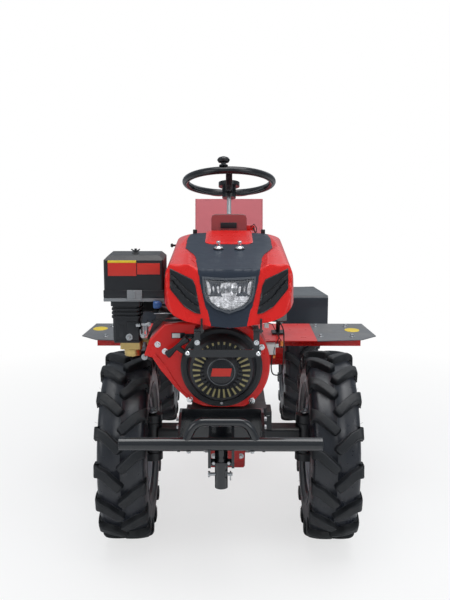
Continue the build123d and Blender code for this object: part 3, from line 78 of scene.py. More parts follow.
camera = placed("camera", bpy.data.cameras.new("camera"))
camera.location = (0, FRONT - CAMERA_AHEAD, CAMERA_HIGH)
camera.rotation_euler = (CAMERA_TILT, 0, CAMERA_TURN)
camera.data.sensor_fit = "VERTICAL"
camera.data.sensor_height = 36
camera.data.lens = 49.2
camera.data.clip_end = 60
scene.camera = camera
scene.view_settings.view_transform = "Standard"

world = bpy.data.worlds.new("studio")
scene.world = world
sky = tree_of(world)
background = sky.nodes.new("ShaderNodeBackground")
white = sky.nodes.new("ShaderNodeBackground")
put(white, Strength=1.0, Color=WHITE)
put(background, Color=SKY_COLOR, Strength=SKY_POWER)
rays = sky.nodes.new("ShaderNodeLightPath")
seen = sky.nodes.new("ShaderNodeMath")
seen.operation = "MAXIMUM"
mix = sky.nodes.new("ShaderNodeMixShader")
out = sky.nodes.new("ShaderNodeOutputWorld")
wire(sky, rays.outputs["Is Camera Ray"], seen.inputs[0])
wire(sky, rays.outputs["Is Transmission Ray"], seen.inputs[1])
wire(sky, seen.outputs[0], mix.inputs[0])
wire(sky, background.outputs[0], mix.inputs[1])
wire(sky, white.outputs[0], mix.inputs[2])
wire(sky, mix.outputs[0], out.inputs["Surface"])


def area_light(name, place, aim, size, power):
    lamp = bpy.data.lights.new(name, "AREA")
    lamp.shape = "RECTANGLE"
    lamp.size, lamp.size_y = size
    lamp.energy = power
    obj = placed(name, lamp)
    obj.location = place
    obj.rotation_euler = (Vector(aim) - Vector(place)).to_track_quat("-Z", "Y").to_euler()


area_light("overhead", (0.2, -0.9, 4.0), (0, -0.1, 0.6), (3.0, 3.0), 92)
area_light("front_left", (2.8, -3.4, 2.4), (0, -0.5, 0.6), (2.0, 2.0), 27)
area_light("front_right", (-3.0, -2.8, 1.9), (0, -0.4, 0.6), (2.0, 2.0), 21)
area_light("behind", (1.6, 3.4, 3.2), (0, 0.4, 0.7), (2.4, 1.6), 12)

# Materials


class Look:
    """Builds one node material and keeps what its pieces share."""

    def __init__(self, name):
        self.mat = bpy.data.materials.new(name)
        self.tree = tree_of(self.mat)
        self.shader = self.add("ShaderNodeBsdfPrincipled")
        self.out = self.add("ShaderNodeOutputMaterial")
        wire(self.tree, self.shader.outputs[0], self.out.inputs["Surface"])
        self.coords = self.add("ShaderNodeTexCoord").outputs["Object"]

    def add(self, kind, **values):
        node = self.tree.nodes.new(kind)
        for key, value in values.items():
            setattr(node, key, value)
        return node

    def noise(self, scale, detail=4, rough=0.55):
        node = self.add("ShaderNodeTexNoise")
        put(node, Scale=scale, Detail=detail, Roughness=rough)
        wire(self.tree, self.coords, node.inputs["Vector"])
        return node.outputs["Fac"]

    def spread(self, value, low, high, start=0.3, stop=0.7):
        """Maps start to low and stop to high."""
        node = self.add("ShaderNodeMapRange")
        put(node, From_Min=start, From_Max=stop, To_Min=low, To_Max=high)
        wire(self.tree, value, node.inputs["Value"])
        return node.outputs[0]

    def maths(self, operation, a, b):
        node = self.add("ShaderNodeMath", operation=operation)
        for index, item in enumerate((a, b)):
            if isinstance(item, (int, float)):
                node.inputs[index].default_value = item
            else:
                wire(self.tree, item, node.inputs[index])
        return node.outputs[0]

    def blend(self, fac, a, b):
        """Mixes two colours, each a tuple or a socket, by a socket's value."""
        node = self.add("ShaderNodeMix", data_type="RGBA")
        for socket, item in ((node.inputs[0], fac), (node.inputs[6], a), (node.inputs[7], b)):
            if isinstance(item, bpy.types.NodeSocket):
                wire(self.tree, item, socket)
            else:
                socket.default_value = (*item, 1)
        return node.outputs[2]

    def grain(self, strength, depth, height, normal=None):
        """Fine relief under the finish, over an already rounded normal if there is one."""
        node = self.add("ShaderNodeBump")
        put(node, Strength=strength, Distance=depth)
        wire(self.tree, height, node.inputs["Height"])
        if normal:
            wire(self.tree, normal, node.inputs["Normal"])
        wire(self.tree, node.outputs[0], self.shader.inputs["Normal"])


EDGE_ALIKE = (0.80, 0.985)  # how alike true and rounded normals are, from a worn edge to a whole face
CHIP_SCALE, CHIP_RANGE = 70, (0.48, 0.62)
DUST_AND_SHEEN_UP = (0.2, 1)          # how far a face looks up, from clean to dusty; on the tyres, from none to a full painted sky sheen
DUST_AND_SHEEN_SCALE, DUST_AND_SHEEN_RANGE = 14, (0.4, 0.75)
M = {}


def finish(key, color, rough, name="", metal=0.0, coat=0.0, coat_rough=0.08, tint=0.07, tint_scale=5.0,
           rough_var=0.06, bump=0.12, bump_scale=220.0, bump_depth=0.0004, bevel=0.0012, wear=0.0,
           wear_color=(0.45, 0.45, 0.45), dust_and_sheen=0.0, dust_and_sheen_color=(0.42, 0.38, 0.33), specular=0.5):
    """Paint, metal, rubber or plastic: uneven colour and gloss, fine grain, rounded and worn edges."""
    look = Look(name or key)
    tree, shader = look.tree, look.shader
    put(shader, Metallic=metal, Coat_Weight=coat, Coat_Roughness=coat_rough, Specular_IOR_Level=specular)
    dark, bright = (tuple(min(1.0, c * factor) for c in color) for factor in (1 - tint, 1 + tint))
    base = look.blend(look.spread(look.noise(tint_scale, 5), 0, 1), dark, bright)
    gloss = look.spread(look.noise(tint_scale * 4.5, 6, 0.65), rough - rough_var, rough + rough_var)
    round_edge = look.add("ShaderNodeBevel", samples=4)
    put(round_edge, Radius=bevel)
    if wear:
        flat = look.add("ShaderNodeNewGeometry")
        dot = look.add("ShaderNodeVectorMath", operation="DOT_PRODUCT")
        wire(tree, flat.outputs["Normal"], dot.inputs[0])
        wire(tree, round_edge.outputs[0], dot.inputs[1])
        edge = look.spread(dot.outputs["Value"], 1, 0, *EDGE_ALIKE)
        chips = look.spread(look.noise(CHIP_SCALE, 5, 0.7), 0, 1, *CHIP_RANGE)
        worn = look.maths("MULTIPLY", look.maths("MULTIPLY", edge, chips), wear)
        base = look.blend(worn, base, wear_color)
    # Dusting on up-facing faces; on the tyres its colour is a painted bluish sheen of sky.
    if dust_and_sheen:
        up = look.add("ShaderNodeNewGeometry")
        split = look.add("ShaderNodeSeparateXYZ")
        wire(tree, up.outputs["Normal"], split.inputs[0])
        dust_and_sheen_mask = look.maths("MULTIPLY", look.spread(split.outputs["Z"], 0, 1, *DUST_AND_SHEEN_UP),
                          look.spread(look.noise(DUST_AND_SHEEN_SCALE, 6, 0.7), 0.1, 1, *DUST_AND_SHEEN_RANGE))
        dust_and_sheen_mask = look.maths("MULTIPLY", dust_and_sheen_mask, dust_and_sheen)
        base = look.blend(dust_and_sheen_mask, base, dust_and_sheen_color)
        gloss = look.maths("ADD", gloss, look.maths("MULTIPLY", dust_and_sheen_mask, 0.4))
    wire(tree, base, shader.inputs["Base Color"])
    wire(tree, gloss, shader.inputs["Roughness"])
    look.grain(bump, bump_depth, look.noise(bump_scale, 3, 0.6), round_edge.outputs[0])
    M[key] = look.mat


RED = (0.72, 0.014, 0.011)
DARK = (0.011, 0.0125, 0.015)
# Painted sheen: a bluish grey laid on the tyres' up-facing faces, standing for the sky's reflection in the
# rubber.
SKY_SHEEN_TINT = (0.11, 0.115, 0.12)

finish("red_paint", RED, 0.3, coat=0.2, specular=0.35, tint=0.05, bump=0.1, bump_scale=320, wear=0.35,
       wear_color=(0.25, 0.05, 0.04), dust_and_sheen=0.1)
finish("hood_red", RED, 0.3, coat=0.18, specular=0.32, coat_rough=0.1, tint=0.04, bump=0.05, bump_scale=420,
       bevel=0.0006)
finish("black_paint", DARK, 0.17, coat=0.5, tint=0.15, bump=0.06, bump_scale=300, wear=0.25, dust_and_sheen=0.03)
finish("frame_paint", (0.012, 0.013, 0.016), 0.38, tint=0.2, bump=0.25, bump_scale=180, wear=0.4, dust_and_sheen=0.15)
finish("knuckle_paint", (0.46, 0.016, 0.014), 0.4, tint=0.14, bump=0.6, bump_scale=130, bump_depth=0.0009,
       wear=0.4, dust_and_sheen=0.15)
finish("panel_paint", (0.02, 0.029, 0.046), 0.46, tint=0.07, bump=0.35, bump_scale=900, bump_depth=0.0002,
       bevel=0.0008, specular=0.35)
finish("rim_paint", (0.7, 0.7, 0.75), 0.36, coat=0.2, tint=0.06, bump=0.15, dust_and_sheen=0.12, bevel=0.002)
# The carcass's up-facing faces take a painted bluish sheen of sky through the dusting mask.
finish("tyre", (0.012, 0.014, 0.02), 0.34, tint=0.22, tint_scale=9, rough_var=0.1, bump=0.35,
       bump_scale=160, bump_depth=0.0006, bevel=0.002, dust_and_sheen=0.14, dust_and_sheen_color=SKY_SHEEN_TINT, specular=0.6,
       name="tyre_rubber")
finish("engine_metal", (0.2, 0.205, 0.21), 0.46, metal=0.75, tint=0.16, bump=0.7, bump_scale=240,
       bump_depth=0.0008, dust_and_sheen=0.2)
finish("cast_black", (0.014, 0.015, 0.017), 0.5, metal=0.3, tint=0.25, bump=0.8, bump_scale=200,
       bump_depth=0.0009, wear=0.3, dust_and_sheen=0.2)
finish("steel", (0.52, 0.53, 0.54), 0.32, metal=1.0, tint=0.1, bump=0.3, bump_scale=420)
finish("chrome", (0.82, 0.83, 0.84), 0.1, metal=1.0, tint=0.03, rough_var=0.03, bump=0.04)
finish("black_plastic", (0.011, 0.012, 0.015), 0.38, tint=0.15, bump=0.4, bump_scale=520, bump_depth=0.0003,
       dust_and_sheen=0.12)
finish("gloss_plastic", (0.009, 0.01, 0.013), 0.22, tint=0.12, bump=0.2, bump_scale=420, bump_depth=0.0003,
       dust_and_sheen=0.06)
finish("bezel", (0.115, 0.125, 0.14), 0.26, metal=0.4, tint=0.05, bump=0.15, bump_scale=600)
finish("floor_paint", (0.115, 0.12, 0.13), 0.34, tint=0.1, bump=0.35, bump_scale=260, wear=0.4, dust_and_sheen=0.2)
finish("guard_paint", (0.022, 0.028, 0.038), 0.34, coat=0.2, tint=0.12, bump=0.3, bump_scale=280, wear=0.3,
       dust_and_sheen=0.12)
finish("rubber", (0.008, 0.008, 0.009), 0.58, tint=0.2, bump=0.3, bump_scale=300)
finish("yellow", (0.8, 0.58, 0.03), 0.42, tint=0.06, bump=0.15, bump_scale=300, name="yellow_paint")
finish("plate_red", (0.6, 0.028, 0.016), 0.4, tint=0.05, bump=0.1, bump_scale=300)
finish("brass", (0.62, 0.45, 0.18), 0.34, metal=0.9, tint=0.1, bump=0.3, bump_scale=300)
finish("pale", (0.72, 0.72, 0.7), 0.44, tint=0.04, bump=0.2, bump_scale=400, name="pale_plastic")
finish("olive", (0.34, 0.29, 0.13), 0.5, tint=0.1, bump=0.2, bump_scale=300, name="olive_sheet")
finish("vent_plastic", (0.01, 0.011, 0.014), 0.3, tint=0.12, bump=0.25, bump_scale=700, bump_depth=0.0002,
       bevel=0.0006)
finish("mid_grey", (0.23, 0.24, 0.25), 0.42, tint=0.05, bump=0.2, bump_scale=500, name="mid_grey_plastic")
finish("shade_grey", (0.16, 0.17, 0.18), 0.3, metal=0.5, tint=0.05, bump=0.1)
# Painted shade: a matte near-black laid where slots and steep faces stand in shadow.
finish("void_black", (0.004, 0.004, 0.005), 0.7, tint=0.2, bump=0.2)
finish("blue", (0.03, 0.1, 0.3), 0.3, tint=0.08, bump=0.1, bump_scale=300, name="blue_plastic")
# The seat's red is paler and the dash's darker, both less saturated than the body's red: a backlit haze
# painted into their colour.
finish("seat_red_painted_haze", (0.6, 0.165, 0.185), 0.34, coat=0.3, tint=0.05, bump=0.1, bump_scale=320, dust_and_sheen=0.12)
finish("dash_red_painted_haze", (0.34, 0.06, 0.062), 0.36, coat=0.2, tint=0.06, bump=0.12, bump_scale=320, dust_and_sheen=0.1)
# The lugs' up-facing faces take a painted bluish sheen of sky through the dusting mask.
finish("lug_face", (0.0095, 0.0108, 0.013), 0.5, tint=0.22, tint_scale=11, rough_var=0.1, bump=0.45,
       bump_scale=170, bump_depth=0.0006, bevel=0.002, dust_and_sheen=0.2, dust_and_sheen_color=SKY_SHEEN_TINT, specular=0.45,
       name="lug_rubber")
finish("orange", (0.72, 0.2, 0.03), 0.42, tint=0.06, bump=0.2, bump_scale=300, name="orange_plastic")

glass = Look("lamp_glass")
put(glass.shader, Base_Color=(0.97, 0.98, 1.0, 1), Transmission_Weight=1.0, IOR=1.45, Coat_Weight=0.4)
wire(glass.tree, glass.spread(glass.noise(30, 4), 0.01, 0.06), glass.shader.inputs["Roughness"])
glass.grain(0.05, 0.0004, glass.noise(180, 2))
M["lens"] = glass.mat

# Painted reflection: bright facets between darker ones are painted into the colour, as a moulded lamp
# reflector's facets catch and miss the light.
mirror = Look("lamp_reflector")
put(mirror.shader, Metallic=0.6)
facets = mirror.add("ShaderNodeTexVoronoi")
put(facets, Scale=130)
wire(mirror.tree, mirror.coords, facets.inputs["Vector"])
facet_reflection_mask = mirror.maths("MULTIPLY", mirror.spread(facets.outputs["Distance"], 1, 0.35, 0.25, 0.75),
                      mirror.spread(mirror.noise(38, 4, 0.6), 0.45, 1, 0.4, 0.6))
painted_facet_reflection = mirror.blend(facet_reflection_mask, (0.2, 0.2, 0.21), (0.97, 0.97, 0.98))
wire(mirror.tree, painted_facet_reflection, mirror.shader.inputs["Base Color"])
wire(mirror.tree, mirror.spread(mirror.noise(90, 3), 0.1, 0.24), mirror.shader.inputs["Roughness"])
M["reflector"] = mirror.mat

# A finish takes the slot of its own name. Some share another's, and the last ones have none.
SLOTS = {key: key for key in M}
SLOTS.update(hood_red="red_paint", vent_plastic="gloss_plastic", void_black="black_plastic",
             shade_grey="bezel", mid_grey="bezel", reflector="chrome")
SLOTS.update(dict.fromkeys(("olive", "plate_red", "yellow", "brass", "pale", "blue", "seat_red_painted_haze", "orange")))

# Mesh helpers


def settle(name, mesh, mat, body, smooth=35, replaces=()):
    """Shows a mesh in its finish; it rides on a body."""
    mesh.shade_smooth()
    mesh.set_sharp_from_angle(angle=radians(smooth))
    mesh.materials.append(M[mat])
    obj = placed(name, mesh)
    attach(obj, body)
    if replaces:
        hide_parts(*replaces)
    return obj


def face_outward(mesh):
    fixed = bmesh.new()
    fixed.from_mesh(mesh)
    bmesh.ops.recalc_face_normals(fixed, faces=fixed.faces)
    fixed.to_mesh(mesh)
    fixed.free()


def shown(name, verts, faces, mat, body, smooth=35, replaces=()):
    """A piece from points in metres."""
    mesh = bpy.data.meshes.new(name)
    mesh.from_pydata([tuple(map(float, v)) for v in verts], [], [tuple(map(int, f)) for f in faces])
    mesh.validate()
    face_outward(mesh)
    return settle(name, mesh, mat, body, smooth, replaces)


def toward(place, axis):
    """Matrix that moves the origin to place and turns the z axis to axis."""
    return Matrix.Translation(place) @ Vector(TO_TOP).rotation_difference(Vector(axis)).to_matrix().to_4x4()


class Solid:
    """Gathers primitive forms into one mesh. Places are metres."""

    origin, per_metre = (0, 0, 0), 1

    def __init__(self):
        self.bm = bmesh.new()

    def spot(self, place):
        return Vector([o + p / self.per_metre for o, p in zip(self.origin, place)])

    def block(self, low, high, bevel):
        made = bmesh.ops.create_cube(self.bm, size=1)["verts"]
        size = [(h - l) / self.per_metre for l, h in zip(low, high)]
        centre = self.spot([(l + h) / 2 for l, h in zip(low, high)])
        matrix = Matrix.Translation(centre) @ Matrix.Diagonal((*size, 1))
        bmesh.ops.transform(self.bm, matrix=matrix, verts=made)
        edges = list({e for v in made for e in v.link_edges})
        bmesh.ops.bevel(self.bm, geom=edges, offset=bevel / self.per_metre, segments=2, affect="EDGES",
                        profile=0.6)
        return self

    def turned(self, profile, place, axis, steps):
        """Revolves (radius, height) points about an axis through place."""
        profile = [(r / self.per_metre, h / self.per_metre) for r, h in profile]
        rings = []
        for k in range(steps):
            angle = 2 * pi * k / steps
            rings.append([self.bm.verts.new((r * cos(angle), r * sin(angle), h)) for r, h in profile])
        for k in range(steps):
            one, two = rings[k], rings[(k + 1) % steps]
            for j in range(len(profile) - 1):
                self.bm.faces.new((one[j], two[j], two[j + 1], one[j + 1]))
        made = [v for ring in rings for v in ring]
        bmesh.ops.transform(self.bm, matrix=toward(self.spot(place), axis), verts=made)
        return self

    def hull(self, corners):
        """Six-sided body from four corners below and the same four above."""
        made = [self.bm.verts.new(c) for c in corners]
        for face in ((0, 1, 2, 3), (7, 6, 5, 4), (0, 4, 5, 1), (1, 5, 6, 2), (2, 6, 7, 3), (3, 7, 4, 0)):
            self.bm.faces.new([made[k] for k in face])

    def prism(self, outline, y, thickness):
        """Plate that faces the front, from (x, z) corners; its front lies at y - thickness."""
        back = [self.bm.verts.new(self.spot((x, y, z))) for x, z in outline]
        front = [self.bm.verts.new(self.spot((x, y - thickness, z))) for x, z in outline]
        self.bm.faces.new(front)
        self.bm.faces.new(back[::-1])
        for k in range(len(outline)):
            self.bm.faces.new((back[k - 1], back[k], front[k], front[k - 1]))
        return self

    def join(self, rings, sides):
        """Faces between closed rings of as many sides."""
        for one, two in zip(rings, rings[1:]):
            for k in range(sides):
                self.bm.faces.new((one[k], one[(k + 1) % sides], two[(k + 1) % sides], two[k]))

    def ellipse(self, centre, radii, thickness, steps=48):
        """Flat oval lying on a surface that faces up, its edge rolled down."""
        rings = []
        for share, lift in ((1.0, 0.0), (0.99, 0.7), (0.96, 1.0)):
            ring = []
            for angle in (2 * pi * k / steps for k in range(steps)):
                ring.append(self.bm.verts.new(self.spot((centre[0] + share * radii[0] * cos(angle),
                                                         centre[1] + share * radii[1] * sin(angle),
                                                         centre[2] + thickness * lift))))
            rings.append(ring)
        self.join(rings, steps)
        self.bm.faces.new(rings[-1])

    def tube(self, points, radius, sides):
        """Round bar through the points; radius is a number, or gives one for each share of the way."""
        points = [self.spot(p) for p in points]
        rings = []
        normal = None
        for i, point in enumerate(points):
            ahead = (points[min(i + 1, len(points) - 1)] - points[max(i - 1, 0)]).normalized()
            if normal is None:
                normal = ahead.orthogonal().normalized()
            normal = (normal - ahead * normal.dot(ahead)).normalized()
            side = ahead.cross(normal)
            size = (radius(i / (len(points) - 1)) if callable(radius) else radius) / self.per_metre
            rings.append([self.bm.verts.new(point + size * (cos(a) * normal + sin(a) * side))
                          for a in (2 * pi * k / sides for k in range(sides))])
        self.join(rings, sides)
        self.bm.faces.new(rings[0][::-1])
        self.bm.faces.new(rings[-1])
        return self

    def bolt(self, place, axis, across, washer=True, thread=0.0):
        """Hexagon head, mostly on a washer, its underside at place and its head along axis."""
        radius = across / sqrt(3)
        high = across * 0.62
        lift = across * 0.13 if washer else 0.0
        if washer:
            edge = [(0, 0), (across * 0.95, 0), (across * 0.98, lift * 0.4), (across * 0.92, lift),
                    (0, lift)]
            self.turned(edge, place, axis, 16)
        rings = []
        for h, r in ((lift, radius), (lift + high * 0.82, radius), (lift + high, radius * 0.86)):
            h, r = h / self.per_metre, r / self.per_metre
            turns = [pi * k / 3 for k in range(6)]
            rings.append([self.bm.verts.new((r * cos(a), r * sin(a), h)) for a in turns])
        self.join(rings, 6)
        self.bm.faces.new(rings[-1])
        made = [v for ring in rings for v in ring]
        bmesh.ops.transform(self.bm, matrix=toward(self.spot(place), axis), verts=made)
        if thread:
            r = across * 0.33
            top = lift + high + thread
            chamfer = 0.001 * self.per_metre
            self.turned([(r, lift), (r, top - chamfer), (r * 0.75, top), (0, top)], place, axis, 12)
        return self

    def done(self, name, mat, body="chassis", replaces=()):
        bmesh.ops.recalc_face_normals(self.bm, faces=self.bm.faces)
        mesh = bpy.data.meshes.new(name)
        self.bm.to_mesh(mesh)
        self.bm.free()
        return settle(name, mesh, mat, body, replaces=replaces)


class Detail(Solid):
    """A solid whose places and sizes are millimetres, measured from an origin in metres."""

    per_metre = 1000

    def __init__(self, x=0.0, y=0.0, z=0.0):
        super().__init__()
        self.origin = (x, y, z)


def grid_faces(rows, cols, wrap_rows=False):
    """Quads of a grid of points, whose last row may be joined to its first."""
    faces = []
    for i in range(rows if wrap_rows else rows - 1):
        for j in range(cols - 1):
            a, d = i * cols + j, ((i + 1) % rows) * cols + j
            faces.append((a, a + 1, d + 1, d))
    return faces


# Carried-over nodes

CARRIED = {
    "frame_paint": ["frame_rails", "front_axle_beam", "seat_pedestal", "left_knuckle", "right_knuckle"],
    "black_paint": ["front_bumper", "bumper_legs", "hood_bracket", "tie_rod", "drop_arm", "belt_guard",
                    "hitch_socket"],
    "red_paint": ["fan_shroud", "footboard_supports", "rear_axle", "main_gearbox"],
    "dash_red_painted_haze": ["dashboard"],
    "seat_red_painted_haze": ["seat"],
    "knuckle_paint": ["front_gearbox", "rear_hitch"],
    "rim_paint": [f"{end}_{side}_rim" for end in ("front", "rear") for side in ("left", "right")],
    "engine_metal": ["engine_block", "cylinder_head"],
    "cast_black": ["steering_box", "silencer"],
    "steel": ["hitch_pin", "drive_shafts", "steering_column"],
    "black_plastic": ["air_cleaner", "recoil_cover", "intake_elbow", "recoil_handle", "pedals"],
    "gloss_plastic": ["steering_wheel", "spinner_knob", "gear_levers"],
    "chrome": ["hood_knobs"],
    "brass": ["carburettor"],
    "bezel": ["headlamp_bezel"],
    "lens": ["headlamp_lens"],
    "floor_paint": ["footboards"],
    "guard_paint": ["mudguards", "fuel_tank"],
    "pale": ["cable_plugs"],
    "panel_paint": ["hood_panel"],
    "hood_red": ["hood_shell"],
    "rubber": ["engine_cable", "hood_vents"],
}
for paint, names in CARRIED.items():
    for name in names:
        node = NODES[name]
        if not node.material_slots:
            node.data.materials.append(M[paint])
        for place in node.material_slots:
            place.material = M[paint]

# The engine's cable

CABLE_POINTS = [(0.1123, 0, 0.818), (0.146, -0.002, 0.813), (0.166, 0, 0.786), (0.167, 0.002, 0.744),
                (0.166, 0.001, 0.7), (0.165, 0.002, 0.664), (0.161, 0.002, 0.64), (0.134, 0.002, 0.638),
                (0.128, 0.002, 0.662), (0.131, 0.002, 0.686), (0.132, 0.002, 0.705)]
curve = bpy.data.curves.new("cable_line", "CURVE")
curve.dimensions = "3D"
spline = curve.splines.new("NURBS")
spline.points.add(len(CABLE_POINTS) - 1)
for point, (x, y, z) in zip(spline.points, CABLE_POINTS):
    point.co = (x, PLUG_Y + y, z, 1)
spline.order_u = 3
spline.use_endpoint_u = True
spline.resolution_u = 12
curve.bevel_depth = 0.002
curve.bevel_resolution = 4
curve.use_fill_caps = True
curve.materials.append(M["rubber"])
cable = placed("cable", curve)
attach(cable, "chassis")
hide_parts("engine_cable")

# Tyres

TYRE_R = 0.32
LUG_COUNT = 16
ARC_R = 0.31                # radius at which lengths round the tread are measured
LUG_DIR = (0.731, 0.682)    # the lug's direction, across and round the tread
LUG_BEND = 0.054            # where the lug turns nearly straight out
LUG_LEAN_FROM = 0.05
LUG_SECTION = [(-1.26, -0.06), (-1.12, 0.25), (-1.03, 0.72), (-0.97, 0.9), (-0.86, 0.985), (-0.62, 1.0),
               (0, 1.0), (0.62, 1.0), (0.86, 0.985), (0.97, 0.9), (1.03, 0.72), (1.12, 0.25), (1.26, -0.06)]
LUG_TAIL = [(0.0822, 0.296, 0.0208), (0.0823, 0.284, 0.0206), (0.0818, 0.272, 0.02),
            (0.0806, 0.262, 0.0188), (0.078, 0.2545, 0.017)]
WALL_RADII, WALL_PLACES = [0.245, 0.262, 0.279, 0.288, 0.2975], [0.0785, 0.0772, 0.0745, 0.0705, 0.05]
TYRE_STEPS = 144
WHISKERS = 56
CREASE = radians(58)


def carcass_profile():
    """Half of the tyre's section as (x, radius), from the tread's middle to the bead."""
    tread = [(0, 0.299), (0.0012, 0.2988), (0.002, 0.2975), (0.03, 0.2972), (0.052, 0.2962),
             (0.064, 0.2935), (0.0705, 0.288), (0.0745, 0.279)]
    wall = [(0.0772, 0.262), (0.0785, 0.245), (0.0782, 0.228), (0.0768, 0.214), (0.0765, 0.2115),
            (0.0782, 0.2105), (0.0784, 0.2075), (0.0762, 0.206), (0.0725, 0.198), (0.068, 0.19),
            (0.0672, 0.1875), (0.0685, 0.1862), (0.068, 0.1835), (0.0655, 0.1825), (0.06, 0.176),
            (0.0575, 0.172), (0.0565, 0.166), (0.056, 0.153)]
    return tread + wall


def lug_arc(x, slope):
    """Lug's place round the tread: slanted over the tread, then nearly straight out at the shoulder."""
    return (min(x, LUG_BEND) - 0.045) * slope + max(0.0, x - LUG_BEND) * 0.3


def lug_rows():
    """One lug's surface as rows of (axial place, length round the tread, radius)."""
    along_x, along_arc = LUG_DIR
    slope = along_arc / along_x
    # Stations: (axial place, top radius, foot radius, half width, height share)
    stations = []
    for d, height, slim in ((0.0, 0.0, 0.45), (0.0012, 0.5, 0.66), (0.003, 0.82, 0.8), (0.0065, 0.96, 0.92),
                            (0.013, 1.0, 1.0)):
        stations.append((-0.0035 + d * along_x, 0.3197, 0.2972, 0.014 * slim, height))
    stations += [(0.026, 0.3198, 0.297, 0.014, 1), (0.038, 0.3196, 0.2966, 0.0142, 1),
                 (0.05, 0.319, 0.296, 0.0146, 1), (0.061, 0.3178, 0.294, 0.0156, 1),
                 (0.07, 0.3158, 0.289, 0.0176, 1), (0.0765, 0.312, 0.282, 0.0196, 1),
                 (0.0805, 0.306, 0.274, 0.0206, 1)]
    rows = []
    for x, top, foot, width, height in stations:
        arc = lug_arc(x, slope)
        lean = min(1.0, max(0.0, (x - LUG_LEAN_FROM) / 0.032))
        row = []
        for e, h in LUG_SECTION:
            h = h if h < 0 else h * height
            offset_arc = e * width * (along_x * (1 - lean) + lean)
            offset_x = -e * width * along_arc * (1 - lean)
            row.append((x + offset_x, arc + offset_arc, foot + (top - foot) * h))
        rows.append(row)
    arc_end = lug_arc(0.079, slope)
    for x, r, width in LUG_TAIL:
        wall_x = float(np.interp(r, WALL_RADII, WALL_PLACES)) - 0.001
        arc = arc_end + 0.004 * (0.306 - r) / 0.05
        rows.append([(wall_x + (x - wall_x) * max(h, 0), arc + e * width, r) for e, h in LUG_SECTION])
    return rows


def add_whiskers(verts, faces):
    """Moulding whiskers on the shoulders and between the lugs."""
    spin = np.random.default_rng(7)
    for k in range(WHISKERS):
        flip = 1 if k % 2 else -1
        angle = 2 * pi * (k + spin.uniform(-0.3, 0.3)) / WHISKERS
        if k % 4 < 2:
            foot = Vector((flip * 0.076, 0, 0.262 + spin.uniform(-0.02, 0.02)))
            tip = foot + Vector((flip * 0.0058, 0, spin.uniform(0.004, 0.012)))
        else:
            foot = Vector((flip * spin.uniform(0.02, 0.06), 0, 0.295))
            tip = foot + Vector((flip * spin.uniform(-0.003, 0.004), 0.002, 0.018))
        start = len(verts)
        for point, size in ((foot, 0.0006), (tip, 0.0003)):
            for a in (0, 2.1, 4.2):
                p = point + Vector((cos(a) * size, sin(a) * size, 0))
                y, z = -p.z * cos(angle) + p.y * sin(angle), p.z * sin(angle) + p.y * cos(angle)
                verts.append((p.x, y, z))
        for a in range(3):
            faces.append((start + a, start + (a + 1) % 3, start + 3 + (a + 1) % 3, start + 3 + a))


def tyre_mesh(name, hand):
    """Carcass and lugs of one tyre; hand is 1 for the left side and -1 for the right."""
    half = carcass_profile()
    ring = [(-x, r) for x, r in reversed(half[1:])] + half
    verts = []
    for k in range(TYRE_STEPS):
        angle = 2 * pi * k / TYRE_STEPS
        verts += [(x, -r * cos(angle), r * sin(angle)) for x, r in ring]
    faces = grid_faces(TYRE_STEPS, len(ring), wrap_rows=True)
    carcass_faces = len(faces)
    rows = lug_rows()
    across = len(LUG_SECTION)
    for flip in (1, -1):
        for k in range(LUG_COUNT):
            base = 2 * pi * (k + (0 if flip == 1 else 0.5)) / LUG_COUNT
            start = len(verts)
            for x, arc, r in (point for row in rows for point in row):
                angle = base + arc / ARC_R
                verts.append((flip * x, -r * cos(angle), r * sin(angle)))
            for i in range(len(rows) - 1):
                for j in range(across - 1):
                    a = start + i * across + j
                    faces.append((a, a + 1, a + across + 1, a + across))
            tail = start + (len(rows) - 1) * across
            faces.append(tuple(tail + j for j in range(across)))
    add_whiskers(verts, faces)
    mesh = bpy.data.meshes.new(name)
    mesh.from_pydata([(hand * x, y, z) for x, y, z in verts], [], faces)
    face_outward(mesh)
    mesh.shade_smooth()
    mesh.set_sharp_from_angle(angle=CREASE)
    mesh.materials.append(M["tyre"])
    mesh.materials.append(M["lug_face"])
    for polygon in mesh.polygons:
        polygon.material_index = int(polygon.index >= carcass_faces)
    return mesh


WHEEL_X = 0.3385
NUT_CIRCLE = 72
tyre_meshes = {1: tyre_mesh("tyre_left", 1), -1: tyre_mesh("tyre_right", -1)}
for end, y in (("front", FRONT), ("rear", REAR)):
    for side, hand in (("left", 1), ("right", -1)):
        hub = (hand * WHEEL_X, y, TYRE_R)
        wheel = f"{end}_{side}_wheel"
        tyre = placed(f"{end}_{side}_tyre_detail", tyre_meshes[hand])
        tyre.matrix_world = Matrix.Translation(hub)
        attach(tyre, wheel)
        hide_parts(f"{end}_{side}_tyre")
        nuts = Detail(*hub)
        for k in range(5):
            a = 2 * pi * k / 5
            across, up = NUT_CIRCLE * sin(a), NUT_CIRCLE * cos(a)
            nuts.bolt((hand * 22.2, across, up), (hand, 0, 0), 17, thread=6)
            nuts.bolt((hand * 13.8, across, up), (-hand, 0, 0), 17, washer=False)
        nuts.bolt((hand * 36.2, 0, 0), (hand, 0, 0), 32, thread=4)
        nuts.done(f"{wheel}_nuts", "steel", wheel)
        valve = Detail(*hub)
        stem = [(hand * 30, 128, 12), (hand * 42, 124, 12), (hand * 56, 122, 12)]
        valve.tube(stem, lambda t: 4.6 - 1.2 * t, 10)
        valve.done(f"{end}_{side}_valve", "rubber", wheel)

# Hood

